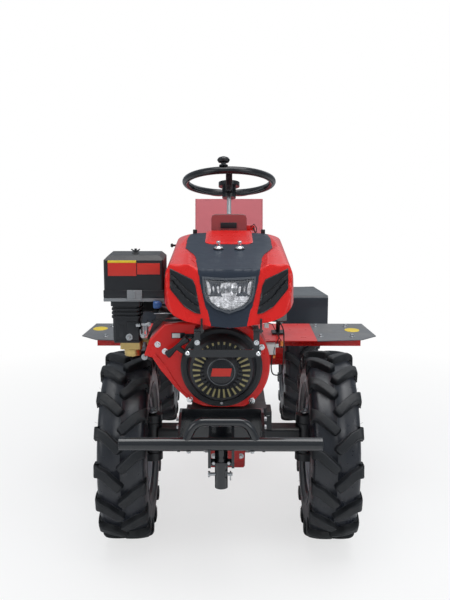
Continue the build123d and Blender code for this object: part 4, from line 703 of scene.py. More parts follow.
NOSE_FOOT = Vector((0, FRONT - 0.41, 0.812))
NOSE_TOP = Vector((0, FRONT - 0.36, 0.974))
HOOD_REAR = Vector((0, FRONT + 0.22, 1.03))
SHOULDER_TOP = 0.989        # shoulders' height where the nose meets the top
HOOD_HALF = 0.19
SKIRT = 0.878
FAN_Y = FRONT - 0.32        # rays that draw the nose start here, the others at each station
FAN_ROWS, TOP_ROWS = 46, 46
SOFT = 0.0022               # how far the form's edges are rounded
PANEL_COLS, STEP_COLS, SIDE_COLS = 14, 6, 26
STEP = 0.007                # width of the shoulders' inner slope
NOSE_UP = (NOSE_TOP - NOSE_FOOT).normalized()
NOSE_OUT = Vector((0, -NOSE_UP.z, NOSE_UP.y))


def nose_y(z):
    return NOSE_FOOT.y + (z - NOSE_FOOT.z) * NOSE_UP.y / NOSE_UP.z


def hood_planes(crest):
    """Half-spaces whose common part is the hood up to this crest, as (outward normals, offsets)."""
    normals, offsets = [], []

    def through(point, normal):
        normal = Vector(normal).normalized()
        normals.append(tuple(normal))
        offsets.append(normal.dot(Vector(point)))

    through(NOSE_FOOT, NOSE_OUT)
    through(crest, (0, crest.z - HOOD_REAR.z, HOOD_REAR.y - crest.y))
    arc = [(0, 1.034), (0.034, 1.0332), (0.066, 1.0312), (0.095, 1.0285), (0.118, 1.0244), (0.138, 1.0175),
           (0.156, 1.0075), (0.17, 0.9945), (0.181, 0.978), (0.188, 0.96), (0.19, 0.942)]
    squarer = [(0, 0), (0, 0), (0, 0.0005), (0.001, 0.0015), (0.004, 0.004), (0.008, 0.008), (0.013, 0.012),
               (0.014, 0.016), (0.008, 0.019), (0.003, 0.02), (0, 0.018)]
    reach = HOOD_REAR.y - NOSE_TOP.y
    for (x0, z0), (x1, z1), (u0, w0), (u1, w1) in zip(arc, arc[1:], squarer, squarer[1:]):
        u, w = (u0 + u1) / 2, (w0 + w1) / 2
        turn = -((z0 - z1) * u + (x1 - x0) * w) / reach
        for side in (1, -1):
            through((side * x0, NOSE_TOP.y, z0), (side * (z0 - z1), turn, x1 - x0))
    plan = [(0.148, NOSE_FOOT.y + 0.003), (0.178, NOSE_FOOT.y + 0.024), (HOOD_HALF, NOSE_FOOT.y + 0.066)]
    for side in (1, -1):
        through((side * HOOD_HALF, 0, 0), (side, 0, 0))
        for (x0, y0), (x1, y1) in zip(plan, plan[1:]):
            through((side * x0, y0, 0), (side * (y1 - y0), x0 - x1, 0))
    return np.array(normals), np.array(offsets)


LOW = hood_planes(NOSE_TOP)
HIGH = hood_planes(Vector((0, nose_y(SHOULDER_TOP), SHOULDER_TOP)))


def hood_hit(origin, turned, form):
    """Points where rays from an origin leave the hood's softened form."""
    normals, offsets = form
    turned = np.array(turned, float)
    turned /= np.linalg.norm(turned, axis=1, keepdims=True)
    rate = turned @ normals.T
    gap = offsets - normals @ np.array(origin, float)
    reach = np.where(rate > 1e-4, gap / np.maximum(rate, 1e-4), 1e3)
    nearest = reach.min(axis=1, keepdims=True)
    crowd = np.exp(-(reach - nearest) / SOFT).sum(axis=1)
    return np.array(origin, float) + turned * (nearest[:, 0] - SOFT * np.log(crowd) * 0.9)[:, None]


def lower_edge():
    """The hood's lower edge from the chin's middle to the skirt, as points and shares of its length."""
    points = []
    for x, z in ((0, 0.812), (0.056, 0.818), (0.125, 0.831), (0.15, 0.842), (0.166, 0.853), (0.178, 0.864),
                 (0.186, 0.873)):
        back = float(np.interp(x, [0, 0.148, 0.178, HOOD_HALF], [0, 0.003, 0.024, 0.066]))
        points.append((x, max(nose_y(z), NOSE_FOOT.y + back), z))
    points += [(HOOD_HALF, NOSE_FOOT.y + 0.07, SKIRT), (HOOD_HALF, FAN_Y, SKIRT)]
    points = np.array(points)
    run = np.concatenate([[0], np.cumsum(np.linalg.norm(np.diff(points, axis=0), axis=1))])
    return points, run / run[-1]


EDGE, EDGE_RUN = lower_edge()


def top_rays(share, turns):
    """Directions in the section across the hood, by angle from straight up; share isn't used there."""
    return np.stack([np.sin(np.radians(turns)), np.zeros_like(turns), np.cos(np.radians(turns))], axis=1)


def fan_rays(share, turns):
    """Directions from the hood's lower edge (share 0) up to its section at FAN_Y (share 1)."""
    origin = np.array([0, FAN_Y, SKIRT])
    target = np.stack([np.interp(turns / 90, EDGE_RUN, EDGE[:, k]) for k in range(3)], axis=1) - origin
    target /= np.linalg.norm(target, axis=1, keepdims=True)
    up = top_rays(share, turns)
    angle = np.arccos(np.clip((target * up).sum(axis=1), -1, 1))[:, None]
    wide = np.maximum(np.sin(angle), 1e-6)
    mixed = (np.sin((1 - share) * angle) * target + np.sin(share * angle) * up) / wide
    return np.where(angle < 1e-4, up, mixed)


def panel_half(y, z):
    """Centre panel's half width, which follows the nose's height in front and then the hood's length."""
    nose = np.interp(z, [0.812, 0.821, 0.876, 0.935, 0.974], [0.0525, 0.0545, 0.068, 0.082, 0.089])
    top = np.interp(y - FRONT, [-0.36, -0.298, -0.196, -0.16, -0.055, 0.094, 0.203],
                    [0.089, 0.094, 0.102, 0.109, 0.14, 0.141, 0.135])
    return np.where(y < FRONT - 0.354, nose, top)


def smooth_step(value):
    value = np.clip(value, 0, 1)
    return value * value * (3 - 2 * value)


def hood_row(origin, rays, share):
    """Half a row from the middle to the side: centre panel, the slope beside it, and the shoulder."""
    search = np.linspace(0, 90, 181)
    hits = hood_hit(origin, rays(share, search), LOW)
    limit = panel_half(hits[:, 1], hits[:, 2])
    first = search[np.argmax(hits[:, 0] > limit)]
    last = max(first + 0.8, search[np.argmax(hits[:, 0] > limit + STEP)])
    on_panel = np.linspace(0, first, PANEL_COLS + 1)
    on_slope = np.linspace(first, last, STEP_COLS + 1)[1:]
    on_side = last + (90 - last) * np.linspace(0, 1, SIDE_COLS + 1)[1:]
    turns = np.concatenate([on_panel, on_slope, on_side])
    climb = np.linspace(0, 1, STEP_COLS + 1)[1:]
    rise = smooth_step(np.concatenate([0 * on_panel, climb, np.ones(SIDE_COLS)]))[:, None]
    low = hood_hit(origin, rays(share, turns), LOW)
    high = hood_hit(origin, rays(share, turns), HIGH)
    return low * (1 - rise) + high * rise


def hood_grid():
    """Rows of the hood's surface from the chin over the nose to the rear, each from right to left."""
    rows = [hood_row((0, FAN_Y, SKIRT), fan_rays, share) for share in np.linspace(0, 1, FAN_ROWS)]
    rows += [hood_row((0, y, SKIRT), top_rays, 0) for y in np.linspace(FAN_Y, HOOD_REAR.y, TOP_ROWS)[1:]]
    grid = np.array(rows)
    mirrored = grid[:, :0:-1].copy()
    mirrored[:, :, 0] *= -1
    return np.concatenate([mirrored, grid], axis=1)


HOOD = hood_grid()
MID = HOOD.shape[1] // 2


def grid_normals(grid):
    along_rows = np.gradient(grid, axis=0)
    along_cols = np.gradient(grid, axis=1)
    away = np.cross(along_cols, along_rows)
    away /= np.maximum(np.linalg.norm(away, axis=2, keepdims=True), 1e-9)
    sign = np.sign(np.sum(away * (grid - np.array([0, -0.66, 0.9])), axis=2, keepdims=True))
    return away * np.where(sign == 0, 1, sign)


def sheet_mesh(name, grid, thickness, mat, smooth=40, replaces=()):
    """A moulded sheet on the hood: an outer grid, an inner copy and closed edges."""
    rows, cols = grid.shape[:2]
    inner = grid - grid_normals(grid) * thickness
    verts = np.concatenate([grid.reshape(-1, 3), inner.reshape(-1, 3)])
    quads = grid_faces(rows, cols)
    count = rows * cols
    faces = quads + [tuple(count + k for k in reversed(q)) for q in quads]
    rim = [(j, j + 1) for j in range(cols - 1)]
    rim += [((rows - 1) * cols + j + 1, (rows - 1) * cols + j) for j in range(cols - 1)]
    rim += [((i + 1) * cols, i * cols) for i in range(rows - 1)]
    rim += [(i * cols + cols - 1, (i + 1) * cols + cols - 1) for i in range(rows - 1)]
    faces += [(b, a, count + a, count + b) for a, b in rim]
    return shown(name, verts, faces, mat, "hood", smooth, replaces)


sheet_mesh("hood_skin", HOOD, 0.003, "hood_red", replaces=["hood_shell"])

# Hinge lugs under the chin.
lugs = Detail(y=FRONT)
for x in (-81, 89):
    lugs.block((x, -413, 797.5), (x + 6, -400, 840), 0.8)
lugs.done("hinge_lugs", "black_paint", "hood")


# Dark centre panel: a skin just off the shell, rolled down at its edges, with a lip below the lamp.
PANEL_RISE, PANEL_ROLL, PANEL_LIP = 0.0026, 0.0012, 0.0021
panel_rows = [i for i, (x, y, z) in enumerate(HOOD[:, MID]) if y <= FRONT + 0.203]
base = HOOD[panel_rows][:, MID - PANEL_COLS:MID + PANEL_COLS + 1]
lift = np.full(base.shape[:2], PANEL_RISE)
from_edge = np.minimum(np.arange(2 * PANEL_COLS + 1), np.arange(2 * PANEL_COLS, -1, -1))
lift -= PANEL_ROLL * (1 - smooth_step(from_edge / 1.5))[None, :]
up_nose = (base - np.array(NOSE_FOOT)) @ np.array(NOSE_UP)
lip_at = 0.027 + 0.034 * np.clip(np.abs(base[:, :, 0]) / 0.065, 0, 1) ** 1.6
on_chin = (base[:, :, 1] < FRONT - 0.34) * smooth_step((lip_at - up_nose) / 0.003)
lift -= PANEL_LIP * on_chin
panel_grid = base + grid_normals(base) * lift[:, :, None]
sheet_mesh("hood_centre_panel", panel_grid, 0.001, "panel_paint", replaces=["hood_panel"])


def strip(widths, rows, rise, count, edge):
    """Grid over the centre panel between x limits that follow each row, raised off the shell."""
    points = []
    normals = grid_normals(HOOD)
    inside = slice(MID - PANEL_COLS, MID + PANEL_COLS + 1)
    for row, width in zip(rows, widths):
        line, away = HOOD[row, inside], normals[row, inside]
        share = np.linspace(-1, 1, count)
        place = np.stack([np.interp(share * width, line[:, 0], line[:, k]) for k in range(3)], axis=1)
        out_dir = np.stack([np.interp(share * width, line[:, 0], away[:, k]) for k in range(3)], axis=1)
        out_dir /= np.linalg.norm(out_dir, axis=1, keepdims=True)
        fall = rise * (1 - edge * np.clip((np.abs(share) - 0.88) / 0.12, 0, 1) ** 2)
        points.append(place + out_dir * fall[:, None])
    return np.array(points)


# Raised red inset at the panel's rear, rounded in front.
INSET_FRONT, INSET_ROUND = -0.012, 0.036
INSET_NOSE, INSET_SWELL = 0.038, 0.042      # half width in front, and how much it grows
INSET_RISE, INSET_DROP = 0.0068, 0.003
inset_rows, inset_widths = [], []
for index, (x, y, z) in enumerate(HOOD[:, MID]):
    behind = y - FRONT - INSET_FRONT
    if behind > 0.002:
        bend = min(1.0, behind / INSET_ROUND)
        inset_rows.append(index)
        inset_widths.append(INSET_NOSE + INSET_SWELL * sqrt(max(0.0, 1 - (1 - bend) ** 2)))
inset = strip(inset_widths, inset_rows, INSET_RISE, 25, 0.45)
inset[0] -= np.array([0, 0, INSET_DROP])
sheet_mesh("hood_inset", inset, 0.0042, "hood_red")


def on_hood(x, up, rise):
    """Points of the hood's surface in front of places on the nose, given as arrays across and up it."""
    hits = []
    for xi, ui in zip(x.ravel(), up.ravel()):
        start = (xi, FRONT - 0.2, NOSE_FOOT.z + ui * NOSE_UP.z)
        hits.append(hood_hit(start, [(0, -1, 0)], HIGH)[0])
    lifted = np.array(hits) + np.array(NOSE_OUT) * rise.reshape(-1, 1)
    return lifted.reshape(*x.shape, 3)


# Vents: a dark moulding on each side of the nose, with two ridges across it over sloping slots.
# Outlines are (across, distance up the nose).
VENT_INNER = ((0.081, 0.041), (0.0925, 0.1), (0.096, 0.122), (0.1045, 0.141))
VENT_OUTER = ((0.1705, 0.116), (0.171, 0.174))
VENT_LOW = ((0.081, 0.041), (0.098, 0.0445), (0.127, 0.062), (0.1705, 0.116))
VENT_HIGH = ((0.1045, 0.141), (0.171, 0.174))


def along(points, share):
    points = np.array(points, float)
    run = np.concatenate([[0], np.cumsum(np.linalg.norm(np.diff(points, axis=0), axis=1))])
    return np.array([np.interp(share * run[-1], run, points[:, k]) for k in range(2)])


def vent_point(a, b):
    """Place in the vent: a from the inner edge to the outer, b from the lower edge to the upper."""
    corners = (1 - a) * (1 - b) * np.array(VENT_LOW[0]) + a * (1 - b) * np.array(VENT_LOW[-1]) \
        + (1 - a) * b * np.array(VENT_HIGH[0]) + a * b * np.array(VENT_HIGH[-1])
    sides = (1 - a) * along(VENT_INNER, b) + a * along(VENT_OUTER, b)
    return (1 - b) * along(VENT_LOW, a) + b * along(VENT_HIGH, a) + sides - corners


def slot_share(a, b):
    """Which of the vent's three slots a place lies in, and how far up that slot."""
    ridges = (0.0, 0.2 + 0.24 * a, 0.46 + 0.28 * a, 1.0)
    slot_at = max(k for k in range(3) if b >= ridges[k] - 1e-9)
    return slot_at, (b - ridges[slot_at]) / (ridges[slot_at + 1] - ridges[slot_at])


VENT_SKIN, VENT_FRAME = 0.0003, 0.0026      # heights off the hood, at a slot's foot and at the edges
RIDGE, LAST_RIDGE = 0.0066, 0.004           # how far the slots climb
CREST_FROM, CREST_TO = 0.86, 0.93           # the ridge's flat crest, as shares of a slot


def vent_rise(a, b):
    """Height of the vent's surface off the hood: a frame round slots that climb to a sharp ridge."""
    slot_at, share = slot_share(a, b)
    slope = RIDGE if slot_at < 2 else LAST_RIDGE
    rise = VENT_SKIN + slope * min(1.0, share / CREST_FROM)
    if share > CREST_TO:
        rise = VENT_SKIN + slope * (1 - (share - CREST_TO) / (1 - CREST_TO))
    near_edge = min(1.0, min(a, 1 - a) * 18, min(b, 1 - b) * 26)
    return rise * near_edge + VENT_FRAME * (1 - near_edge)


VENT_COLS, VENT_LEVELS = 21, 61
for name, side, replaced in (("vent_left", 1, ["hood_vents"]), ("vent_right", -1, ())):
    plan = np.array([[(*vent_point(a, b), vent_rise(a, b)) for a in np.linspace(0, 1, VENT_COLS)]
                     for b in np.linspace(0, 1, VENT_LEVELS)])
    grid = on_hood(side * plan[:, :, 0], plan[:, :, 1], plan[:, :, 2])
    vent = sheet_mesh(name, grid, 0.0016, "vent_plastic", smooth=28, replaces=replaced)
    # The drop behind each ridge and the foot of the slot after it take a matte near-black: painted shade on
    # the slots' steep faces.
    vent.data.materials.append(M["void_black"])
    for polygon in list(vent.data.polygons)[:(VENT_COLS - 1) * (VENT_LEVELS - 1)]:
        level, column = divmod(polygon.index, VENT_COLS - 1)
        a, b = (column + 0.5) / (VENT_COLS - 1), (level + 0.5) / (VENT_LEVELS - 1)
        slot_at, share = slot_share(a, b)
        if 0.04 < a < 0.96 and ((slot_at < 2 and share > CREST_FROM) or (slot_at and share < 0.16)):
            polygon.material_index = 1

# Headlamp

LAMP_FOOT, LAMP_TOP = 0.048, 0.142          # distances up the nose
LAMP_HALF = 0.071
LAMP_SAG = 0.006            # how far the top edge sags in its middle
REFLECTOR_INSET, REFLECTOR_RISE = 0.0045, 0.0028
BORDER_RISE = 0.0045
REFLECTOR_SPLIT = 0.45      # share of the lamp's height that the fine domes cover


def lamp_half(up):
    """Lamp's half width at a distance up the nose."""
    return np.interp(up, [LAMP_FOOT, LAMP_FOOT + 0.013, LAMP_FOOT + 0.03, LAMP_FOOT + 0.052, LAMP_TOP],
                     [0.001, 0.037, 0.059, 0.066, LAMP_HALF])


def lamp_sag(x):
    return LAMP_SAG * (1 - (x / LAMP_HALF) ** 2)


def lamp_grid(shrink, rise, crown=0.0, rows=19, cols=25, low=0.0, high=1.0):
    """Grid over part of the lamp's outline; its top edge sags in the middle."""
    spread = np.linspace(LAMP_FOOT + shrink * 1.3, LAMP_TOP - shrink, 101)
    up = np.interp(np.linspace(low, high, rows), np.linspace(0, 1, 101), spread)[:, None]
    half = np.maximum(0.0015, lamp_half(up) - shrink)
    x = half * np.linspace(-1, 1, cols)[None, :]
    sag = -lamp_sag(x) * np.clip((up - LAMP_TOP + 0.05) / 0.05, 0, 1)
    bulge = crown * (1 - (x / 0.075) ** 2) * (1 - ((up - 0.098) / 0.056) ** 2)
    away = np.broadcast_to(rise, x.shape) + bulge
    climb = np.array(NOSE_UP) * (up + sag)[:, :, None]
    place = np.array(NOSE_FOOT) + climb + np.array(NOSE_OUT) * away[:, :, None]
    place[:, :, 0] += x
    return place


def pillow_mesh(name, grid, per_row, per_col, height):
    """Sheet of small domes, one for each block of the grid's cells."""
    rows, cols = grid.shape[:2]
    i = np.abs(((np.arange(rows) % per_row) / per_row) * 2 - 1)[:, None]
    j = np.abs(((np.arange(cols) % per_col) / per_col) * 2 - 1)[None, :]
    swell = height * (1 - i ** 2) * (1 - j ** 2)
    lifted = grid + np.array(NOSE_OUT) * swell[:, :, None]
    shown(name, lifted.reshape(-1, 3), grid_faces(rows, cols), "reflector", "hood", smooth=60)


# Reflector: fine domes below, and a smooth bowl to each side of a dark round middle above them.
fine = lamp_grid(REFLECTOR_INSET, REFLECTOR_RISE, rows=25, cols=81, high=REFLECTOR_SPLIT)
pillow_mesh("lamp_reflector_low", fine, 4, 4, 0.0011)
upper = lamp_grid(REFLECTOR_INSET, REFLECTOR_RISE, rows=29, cols=61, low=REFLECTOR_SPLIT)
wing = np.abs(upper[:, :, 0]) - 0.04
bowl = 0.0034 * np.clip(1 - (wing / 0.034) ** 2, 0, 1)
upper = upper + np.array(NOSE_OUT) * (0.0018 - bowl)[:, :, None]
pillow_mesh("lamp_reflector_high", upper, 28, 6, 0.0016)
sheet_mesh("lamp_lens", lamp_grid(0.0004, 0.008, 0.0022), 0.0014, "lens", replaces=["headlamp_lens"])

# Segments round the reflector, and the bulb's shade in its middle.
border = Solid()


def segment(x, up, wide, high):
    at = NOSE_FOOT + NOSE_UP * up + NOSE_OUT * BORDER_RISE
    border.block((x - wide, at.y - 0.0011, at.z - high), (x + wide, at.y + 0.0011, at.z + high), 0.0004)


for side in (1, -1):
    for up in np.linspace(LAMP_FOOT + 0.003, LAMP_TOP - 0.004, 30):
        segment(side * (float(lamp_half(up)) - 0.003), up, 0.0022, 0.001)
for x in np.linspace(-0.062, 0.062, 32):
    segment(x, LAMP_TOP - 0.0035 - lamp_sag(x), 0.0014, 0.0018)
border.done("lamp_border", "bezel", "hood")

bulb = Detail(*(NOSE_FOOT + NOSE_UP * 0.112 + NOSE_OUT * 0.0052))
bulb.turned([(0.1, 1.8), (6, 1.6), (9, 0.4), (10.5, -2)], (0, 0, 0), NOSE_OUT, 24)
for side in (-1, 1):
    beside = Vector((side * 16, 0, 0)) - NOSE_UP * 3
    bulb.turned([(0.1, 0.8), (6, 0.6), (8.8, -0.4), (9.5, -2)], beside, NOSE_OUT, 20)
bulb.done("lamp_shade", "shade_grey", "hood")

# Recoil starter: pale bars round the cover, its middle disc with a blank plate, and the grip's ends

SHROUD_FACE = FRONT - 0.31
CRANK_Z = 0.674
COVER_Y = SHROUD_FACE - 0.0003
CRANK = (ENGINE_X, COVER_Y, CRANK_Z)
SLOTS_ROUND = 30
UPPER_SECTOR = radians(44)  # where the bars are short
BAR_OUTER, BAR_PROUD = 0.0855, 0.0008
SCREW_CIRCLE = 110.5


def cover_y(radius):
    """Front surface of the recoil cover's slotted cone."""
    return COVER_Y - float(np.interp(radius, [0.052, 0.086, 0.094], [0.052, 0.044, 0.038]))


def radial_bar(solid, angle, inner, outer, half, proud):
    """Flat bar lying along a radius of the recoil cover, its ends following the cone."""
    out_dir = Vector((sin(angle), 0, cos(angle)))
    across = Vector((cos(angle), 0, -sin(angle)))
    corners = []
    for depth in (0.0014, -proud):
        for radius, side in ((inner, -1), (outer, -1), (outer, 1), (inner, 1)):
            width = half * (0.8 if radius == inner else 1.0)
            middle = Vector((ENGINE_X, cover_y(radius) + depth, CRANK_Z))
            corners.append(middle + out_dir * radius + across * side * width)
    solid.hull(corners)


# The gaps are painted shade: matte near-black strips laid in the cover's slots between the bars.
bars, gaps = Solid(), Solid()
for k in range(SLOTS_ROUND):
    angle = 2 * pi * (k + 0.5) / SLOTS_ROUND
    from_top = abs((angle + pi) % (2 * pi) - pi)
    if from_top < UPPER_SECTOR:
        inner, half = 0.0775, 0.0028
    else:
        inner, half = 0.062 + 0.005 * cos(3 * angle), 0.003
    radial_bar(bars, angle, inner, BAR_OUTER, half, BAR_PROUD)
    radial_bar(gaps, 2 * pi * k / SLOTS_ROUND, 0.056, 0.086, 0.0022, 0.0002)
bars.done("recoil_bars", "olive")
gaps.done("recoil_gaps", "void_black")

disc = Detail(*CRANK).turned([(0.1, 1.2), (34.5, 1.2), (36.2, 0.2), (36.6, -1)], (0, -70, 0), TO_FRONT, 48)
disc.done("recoil_disc", "gloss_plastic")
ring = Detail(*CRANK)
ring.turned([(38.5, -1), (38.8, 1.2), (39.8, 1.6), (40.8, 1), (41.2, -1)], (0, -68.5, 0), TO_FRONT, 48)
ring.done("recoil_ring", "shade_grey")
plate = Detail(*CRANK).prism([(-31, -12), (26, -12), (31, 12), (-26, 12)], -71.2, 1.2)
plate.done("recoil_plate", "plate_red")

beads = Detail(*CRANK)
beads.turned([(117.2, -0.4), (118, 1.2), (119.6, 1.2), (120.4, -0.4)], (0, -8.8, 0), TO_FRONT, 72)
beads.turned([(103.8, -0.6), (104.6, 1), (105.6, 1), (106.4, -0.6)], (0, -14, 0), TO_FRONT, 72)
beads.done("recoil_beads", "black_plastic")
screws = Detail(*CRANK)
for k in range(3):
    angle = 2 * pi * k / 3 + pi / 3
    screws.bolt((SCREW_CIRCLE * sin(angle), -11.8, SCREW_CIRCLE * cos(angle)), TO_FRONT, 8)
screws.done("recoil_bolts", "steel")

# Grip: a crossbar with flared ends on its stem.
GRIP_LEAN, STEM_LEAN = radians(50), radians(42)
GRIP_SECTION = [(0.1, -40), (10, -40), (11.8, -37.5), (10, -25), (7.2, -13), (7.6, 13), (10, 25),
                (11.8, 37.5), (10, 40), (0.1, 40)]
grip = Detail(ENGINE_X - 0.131, SHROUD_FACE - 0.034, CRANK_Z + 0.068)
grip.turned(GRIP_SECTION, (0, 0, 0), (sin(GRIP_LEAN), 0, cos(GRIP_LEAN)), 24)
stem_dir = Vector((cos(STEM_LEAN), 0, -sin(STEM_LEAN)))
stem = [(0, 0, 0), stem_dir * 16, stem_dir * 30 + Vector((0, 8, 0)), stem_dir * 36 + Vector((0, 30, 0))]
grip.tube(stem, lambda t: 8.5 - 2.8 * t, 14)
grip.done("recoil_grip", "black_plastic", replaces=["recoil_handle"])

# Bracket, shroud and label

BUTTON = [(0.1, 5.2), (4.2, 4.6), (6.8, 2.2), (7.6, 0.6), (7.8, 0)]
hardware = Detail(y=FRONT)
for x, z in ((-118.5, 740.5), (84.5, 739.5)):
    hardware.turned(BUTTON, (x, -420, z), TO_FRONT, 20)
for x in (-91, 79):
    hardware.bolt((x, -420, 772), TO_FRONT, 8)
for x, z in ((98, 733), (-192, 720), (70, 566), (-118, 570), (-214, 741)):
    hardware.bolt((x, -310, z), TO_FRONT, 10)
hardware.done("front_bolts", "chrome")

label = Detail(y=SHROUD_FACE)
label.block((-172, -1.6, 760), (-132, 0, 777.5), 0.6)
label.block((-132, -3.6, 759), (-102, 0, 774), 1)
label.done("label_back", "gloss_plastic")
Detail(y=SHROUD_FACE).block((-170, -2.4, 762), (-146, -1, 775.5), 0.4).done("blank_label", "pale")

# Pressed rib round the shroud's flank.
RIB_LINE = [(-222, -1, 712), (-190, -1, 672), (-166, -1, 630), (-140, -1, 594), (-112, -1, 572)]
Detail(y=SHROUD_FACE).tube(RIB_LINE, 2.2, 8).done("shroud_rib", "red_paint")

# Air cleaner: lower band, pale base, clip, blank plates and wing nut. The origin is on its front face.

CLEANER_FACE = FRONT - 0.28
CLEANER_X, CLEANER_DEEP = -0.286, 140
band = Detail(CLEANER_X, CLEANER_FACE)
band.block((-91.5, -2.2, 877.5), (91.5, CLEANER_DEEP + 2.2, 901), 2.2)
band.done("cleaner_band", "black_plastic")
foot = Detail(CLEANER_X, CLEANER_FACE)
foot.block((-91.5, -2.2, 866.5), (91.5, CLEANER_DEEP + 2.2, 877), 1.8)
foot.done("cleaner_foot", "mid_grey")
clip = Detail(CLEANER_X, CLEANER_FACE)
clip.block((-20, -6.5, 871.5), (25, -2, 902.5), 1.2)
clip.block((-1, -7.8, 876), (6, -6, 899), 0.6)
clip.block((-20, -8.5, 871.5), (25, -5.5, 874.5), 0.8)
clip.done("cleaner_clip", "mid_grey")
plates = Detail(CLEANER_X, CLEANER_FACE)
plates.block((-76.5, -1, 944.5), (8.8, 0, 984), 0.3)
plates.block((11.3, -1, 949), (79.5, 0, 983), 0.3)
plates.done("cleaner_plates", "plate_red")
top_plate = Detail(CLEANER_X, CLEANER_FACE).block((-76.5, -1.1, 984.2), (8.8, 0, 991.5), 0.3)
top_plate.done("cleaner_plate_top", "yellow")
wing_nut = Detail(CLEANER_X, CLEANER_FACE + 0.07, 1.005)
wing_nut.turned([(0.1, 2), (11, 1.8), (11.5, 0)], (0, 0, 0), TO_TOP, 20)
wing_nut.turned([(6, 1.6), (5, 9), (3, 9.8)], (0, 0, 0), TO_TOP, 16)
for side in (-1, 1):
    wing_nut.tube([(side * 4, 0, 6), (side * 11, 0, 10.5), (side * 13, 0, 13)], lambda t: 2.6 - t, 8)
wing_nut.done("wing_nut", "cast_black")

# Duct and carburettor: boss plate, bolts, levers, springs, cock and float bowl

DUCT_Y = CLEANER_FACE + 0.013
duct = Detail(y=DUCT_Y)
duct.block((-333.5, -1.2, 754), (-319.5, 1, 794), 0.6)
duct.block((-312, -4, 744), (-274, 1, 802), 3)
duct.block((-350, -3, 736), (-272, 1, 744), 2)
duct.done("duct_boss", "black_plastic")

LEVERS = [((-264.5, -15, 793.5), (-236, -13, 800.5), 0.8), ((-282, -12, 788.5), (-269, -4, 797.5), 1.2),
          ((-270, -13, 758), (-248, -11, 764.5), 0.8), ((-270, -13, 758), (-267, 30, 780), 0.8),
          ((-252, -13, 760), (-249, 30, 800), 0.8)]
LEVER_BOLTS = [((-260, -13, 761.2), 8), ((-242, -15, 797), 7), ((-257.2, -13, 695.1), 10)]
ROD = [(-259, -11, 798), (-260, -11.5, 780), (-256, -11, 764)]
CHOKE_WIRE = [(-224.5, -33, 833.6), (-194, -33, 834.5), (-164, -33, 833.6)]
SPRING = [(-244 + 3 * cos(t * 2.2), -9 + 3 * sin(t * 2.2), 766 + t * 1.05) for t in range(26)]
levers = Detail(y=DUCT_Y).bolt((-303.7, -4, 754.7), TO_FRONT, 11, thread=4)
for low, high, bevel in LEVERS:
    levers.block(low, high, bevel)
levers.tube(ROD, 1.4, 8).tube(SPRING, 0.7, 6)
for place, across in LEVER_BOLTS:
    levers.bolt(place, TO_FRONT, across)
levers.tube(CHOKE_WIRE, 1.2, 8)
levers.done("carburettor_levers", "steel")

BOWL_SECTION = [(0.1, -0.5), (18, -0.5), (23.5, 3), (25.6, 8.5), (25.6, 17), (27.5, 17.8), (27.5, 21.5),
                (20, 22.2)]
bowl = Detail(-0.298, FRONT - 0.232, 0.691).turned(BOWL_SECTION, (0, 0, 0), TO_TOP, 32)
bowl.turned([(0.1, -6.5), (5, -6), (5.5, 0)], (0, 0, 0), TO_TOP, 12)
bowl.done("float_bowl", "brass")
COCK_SECTION = [(0.1, 0), (7.5, 0), (8.5, 3), (8.5, 14), (6, 18), (6, 24), (0.1, 24)]
cock = Detail(y=DUCT_Y).turned(COCK_SECTION, (-257, 4, 713), TO_TOP, 20)
cock.block((-264, -6, 718), (-250, -2, 724), 1.2)
cock.done("fuel_cock", "bezel")

FUEL_HOSE = [(-230, -13, 806), (-209, -31, 814.5), (-190, -33, 813), (-171, -31, 812), (-148, -27, 812.5),
             (-120, -13, 814)]
FILTER_HOSE = [(-201, -29, 860), (-185, -23, 856), (-164, -3, 856)]
COCK_HOSE = [(-257, 6, 716), (-248, 12, 704), (-235, 30, 700), (-226, 55, 710)]
FILTER_SECTION = [(0.1, 0), (10.5, 0), (11.8, 2), (11.8, 16), (8, 22), (4, 25), (0.1, 25)]
hoses = Detail(y=DUCT_Y).tube(FUEL_HOSE, 3.6, 12).tube(FILTER_HOSE, 3.8, 12).tube(COCK_HOSE, 3.4, 12)
hoses.done("fuel_hoses", "rubber")
fuel_filter = Detail(y=DUCT_Y).turned(FILTER_SECTION, (-226, -29, 860), (1, 0, 0), 24)
fuel_filter.done("fuel_filter", "blue")

# Hood knobs: black gaskets under bright turned knobs

TOP_DIR = Vector((0, HOOD_REAR.y - NOSE_TOP.y, HOOD_REAR.z - NOSE_TOP.z)).normalized()
TOP_OUT = Vector((0, -TOP_DIR.z, TOP_DIR.y))
KNOB_X, KNOB_BACK = 34, 274
GASKET_SECTION = [(0.1, 4), (15, 4), (16.6, 3), (17, 1), (16.8, 0)]
KNOB_SECTION = [(0.1, 27.8), (4, 27.6), (6.2, 26.2), (6.6, 24), (6.6, 10.5), (9, 9.2), (13.6, 6.6),
                (14.2, 4.6), (14, 3.8)]
gaskets, knobs = Detail(*NOSE_TOP), Detail(*NOSE_TOP)
for x in (-KNOB_X, KNOB_X):
    seat_at = TOP_DIR * KNOB_BACK + TOP_OUT * 2.8 + Vector((x, 0, 0))
    gaskets.turned(GASKET_SECTION, seat_at, TOP_OUT, 32)
    knobs.turned(KNOB_SECTION, seat_at, TOP_OUT, 32)
gaskets.done("knob_gaskets", "gloss_plastic", "hood")
knobs.done("knobs", "chrome", "hood", replaces=["hood_knobs"])

# Driver's place

FOOT_Z = 620
ovals = Detail()
for x, y in ((-512, -93), (486, -117)):
    ovals.ellipse((x, y, FOOT_Z), (29, 36), 0.9)
ovals.done("foot_ovals", "yellow")

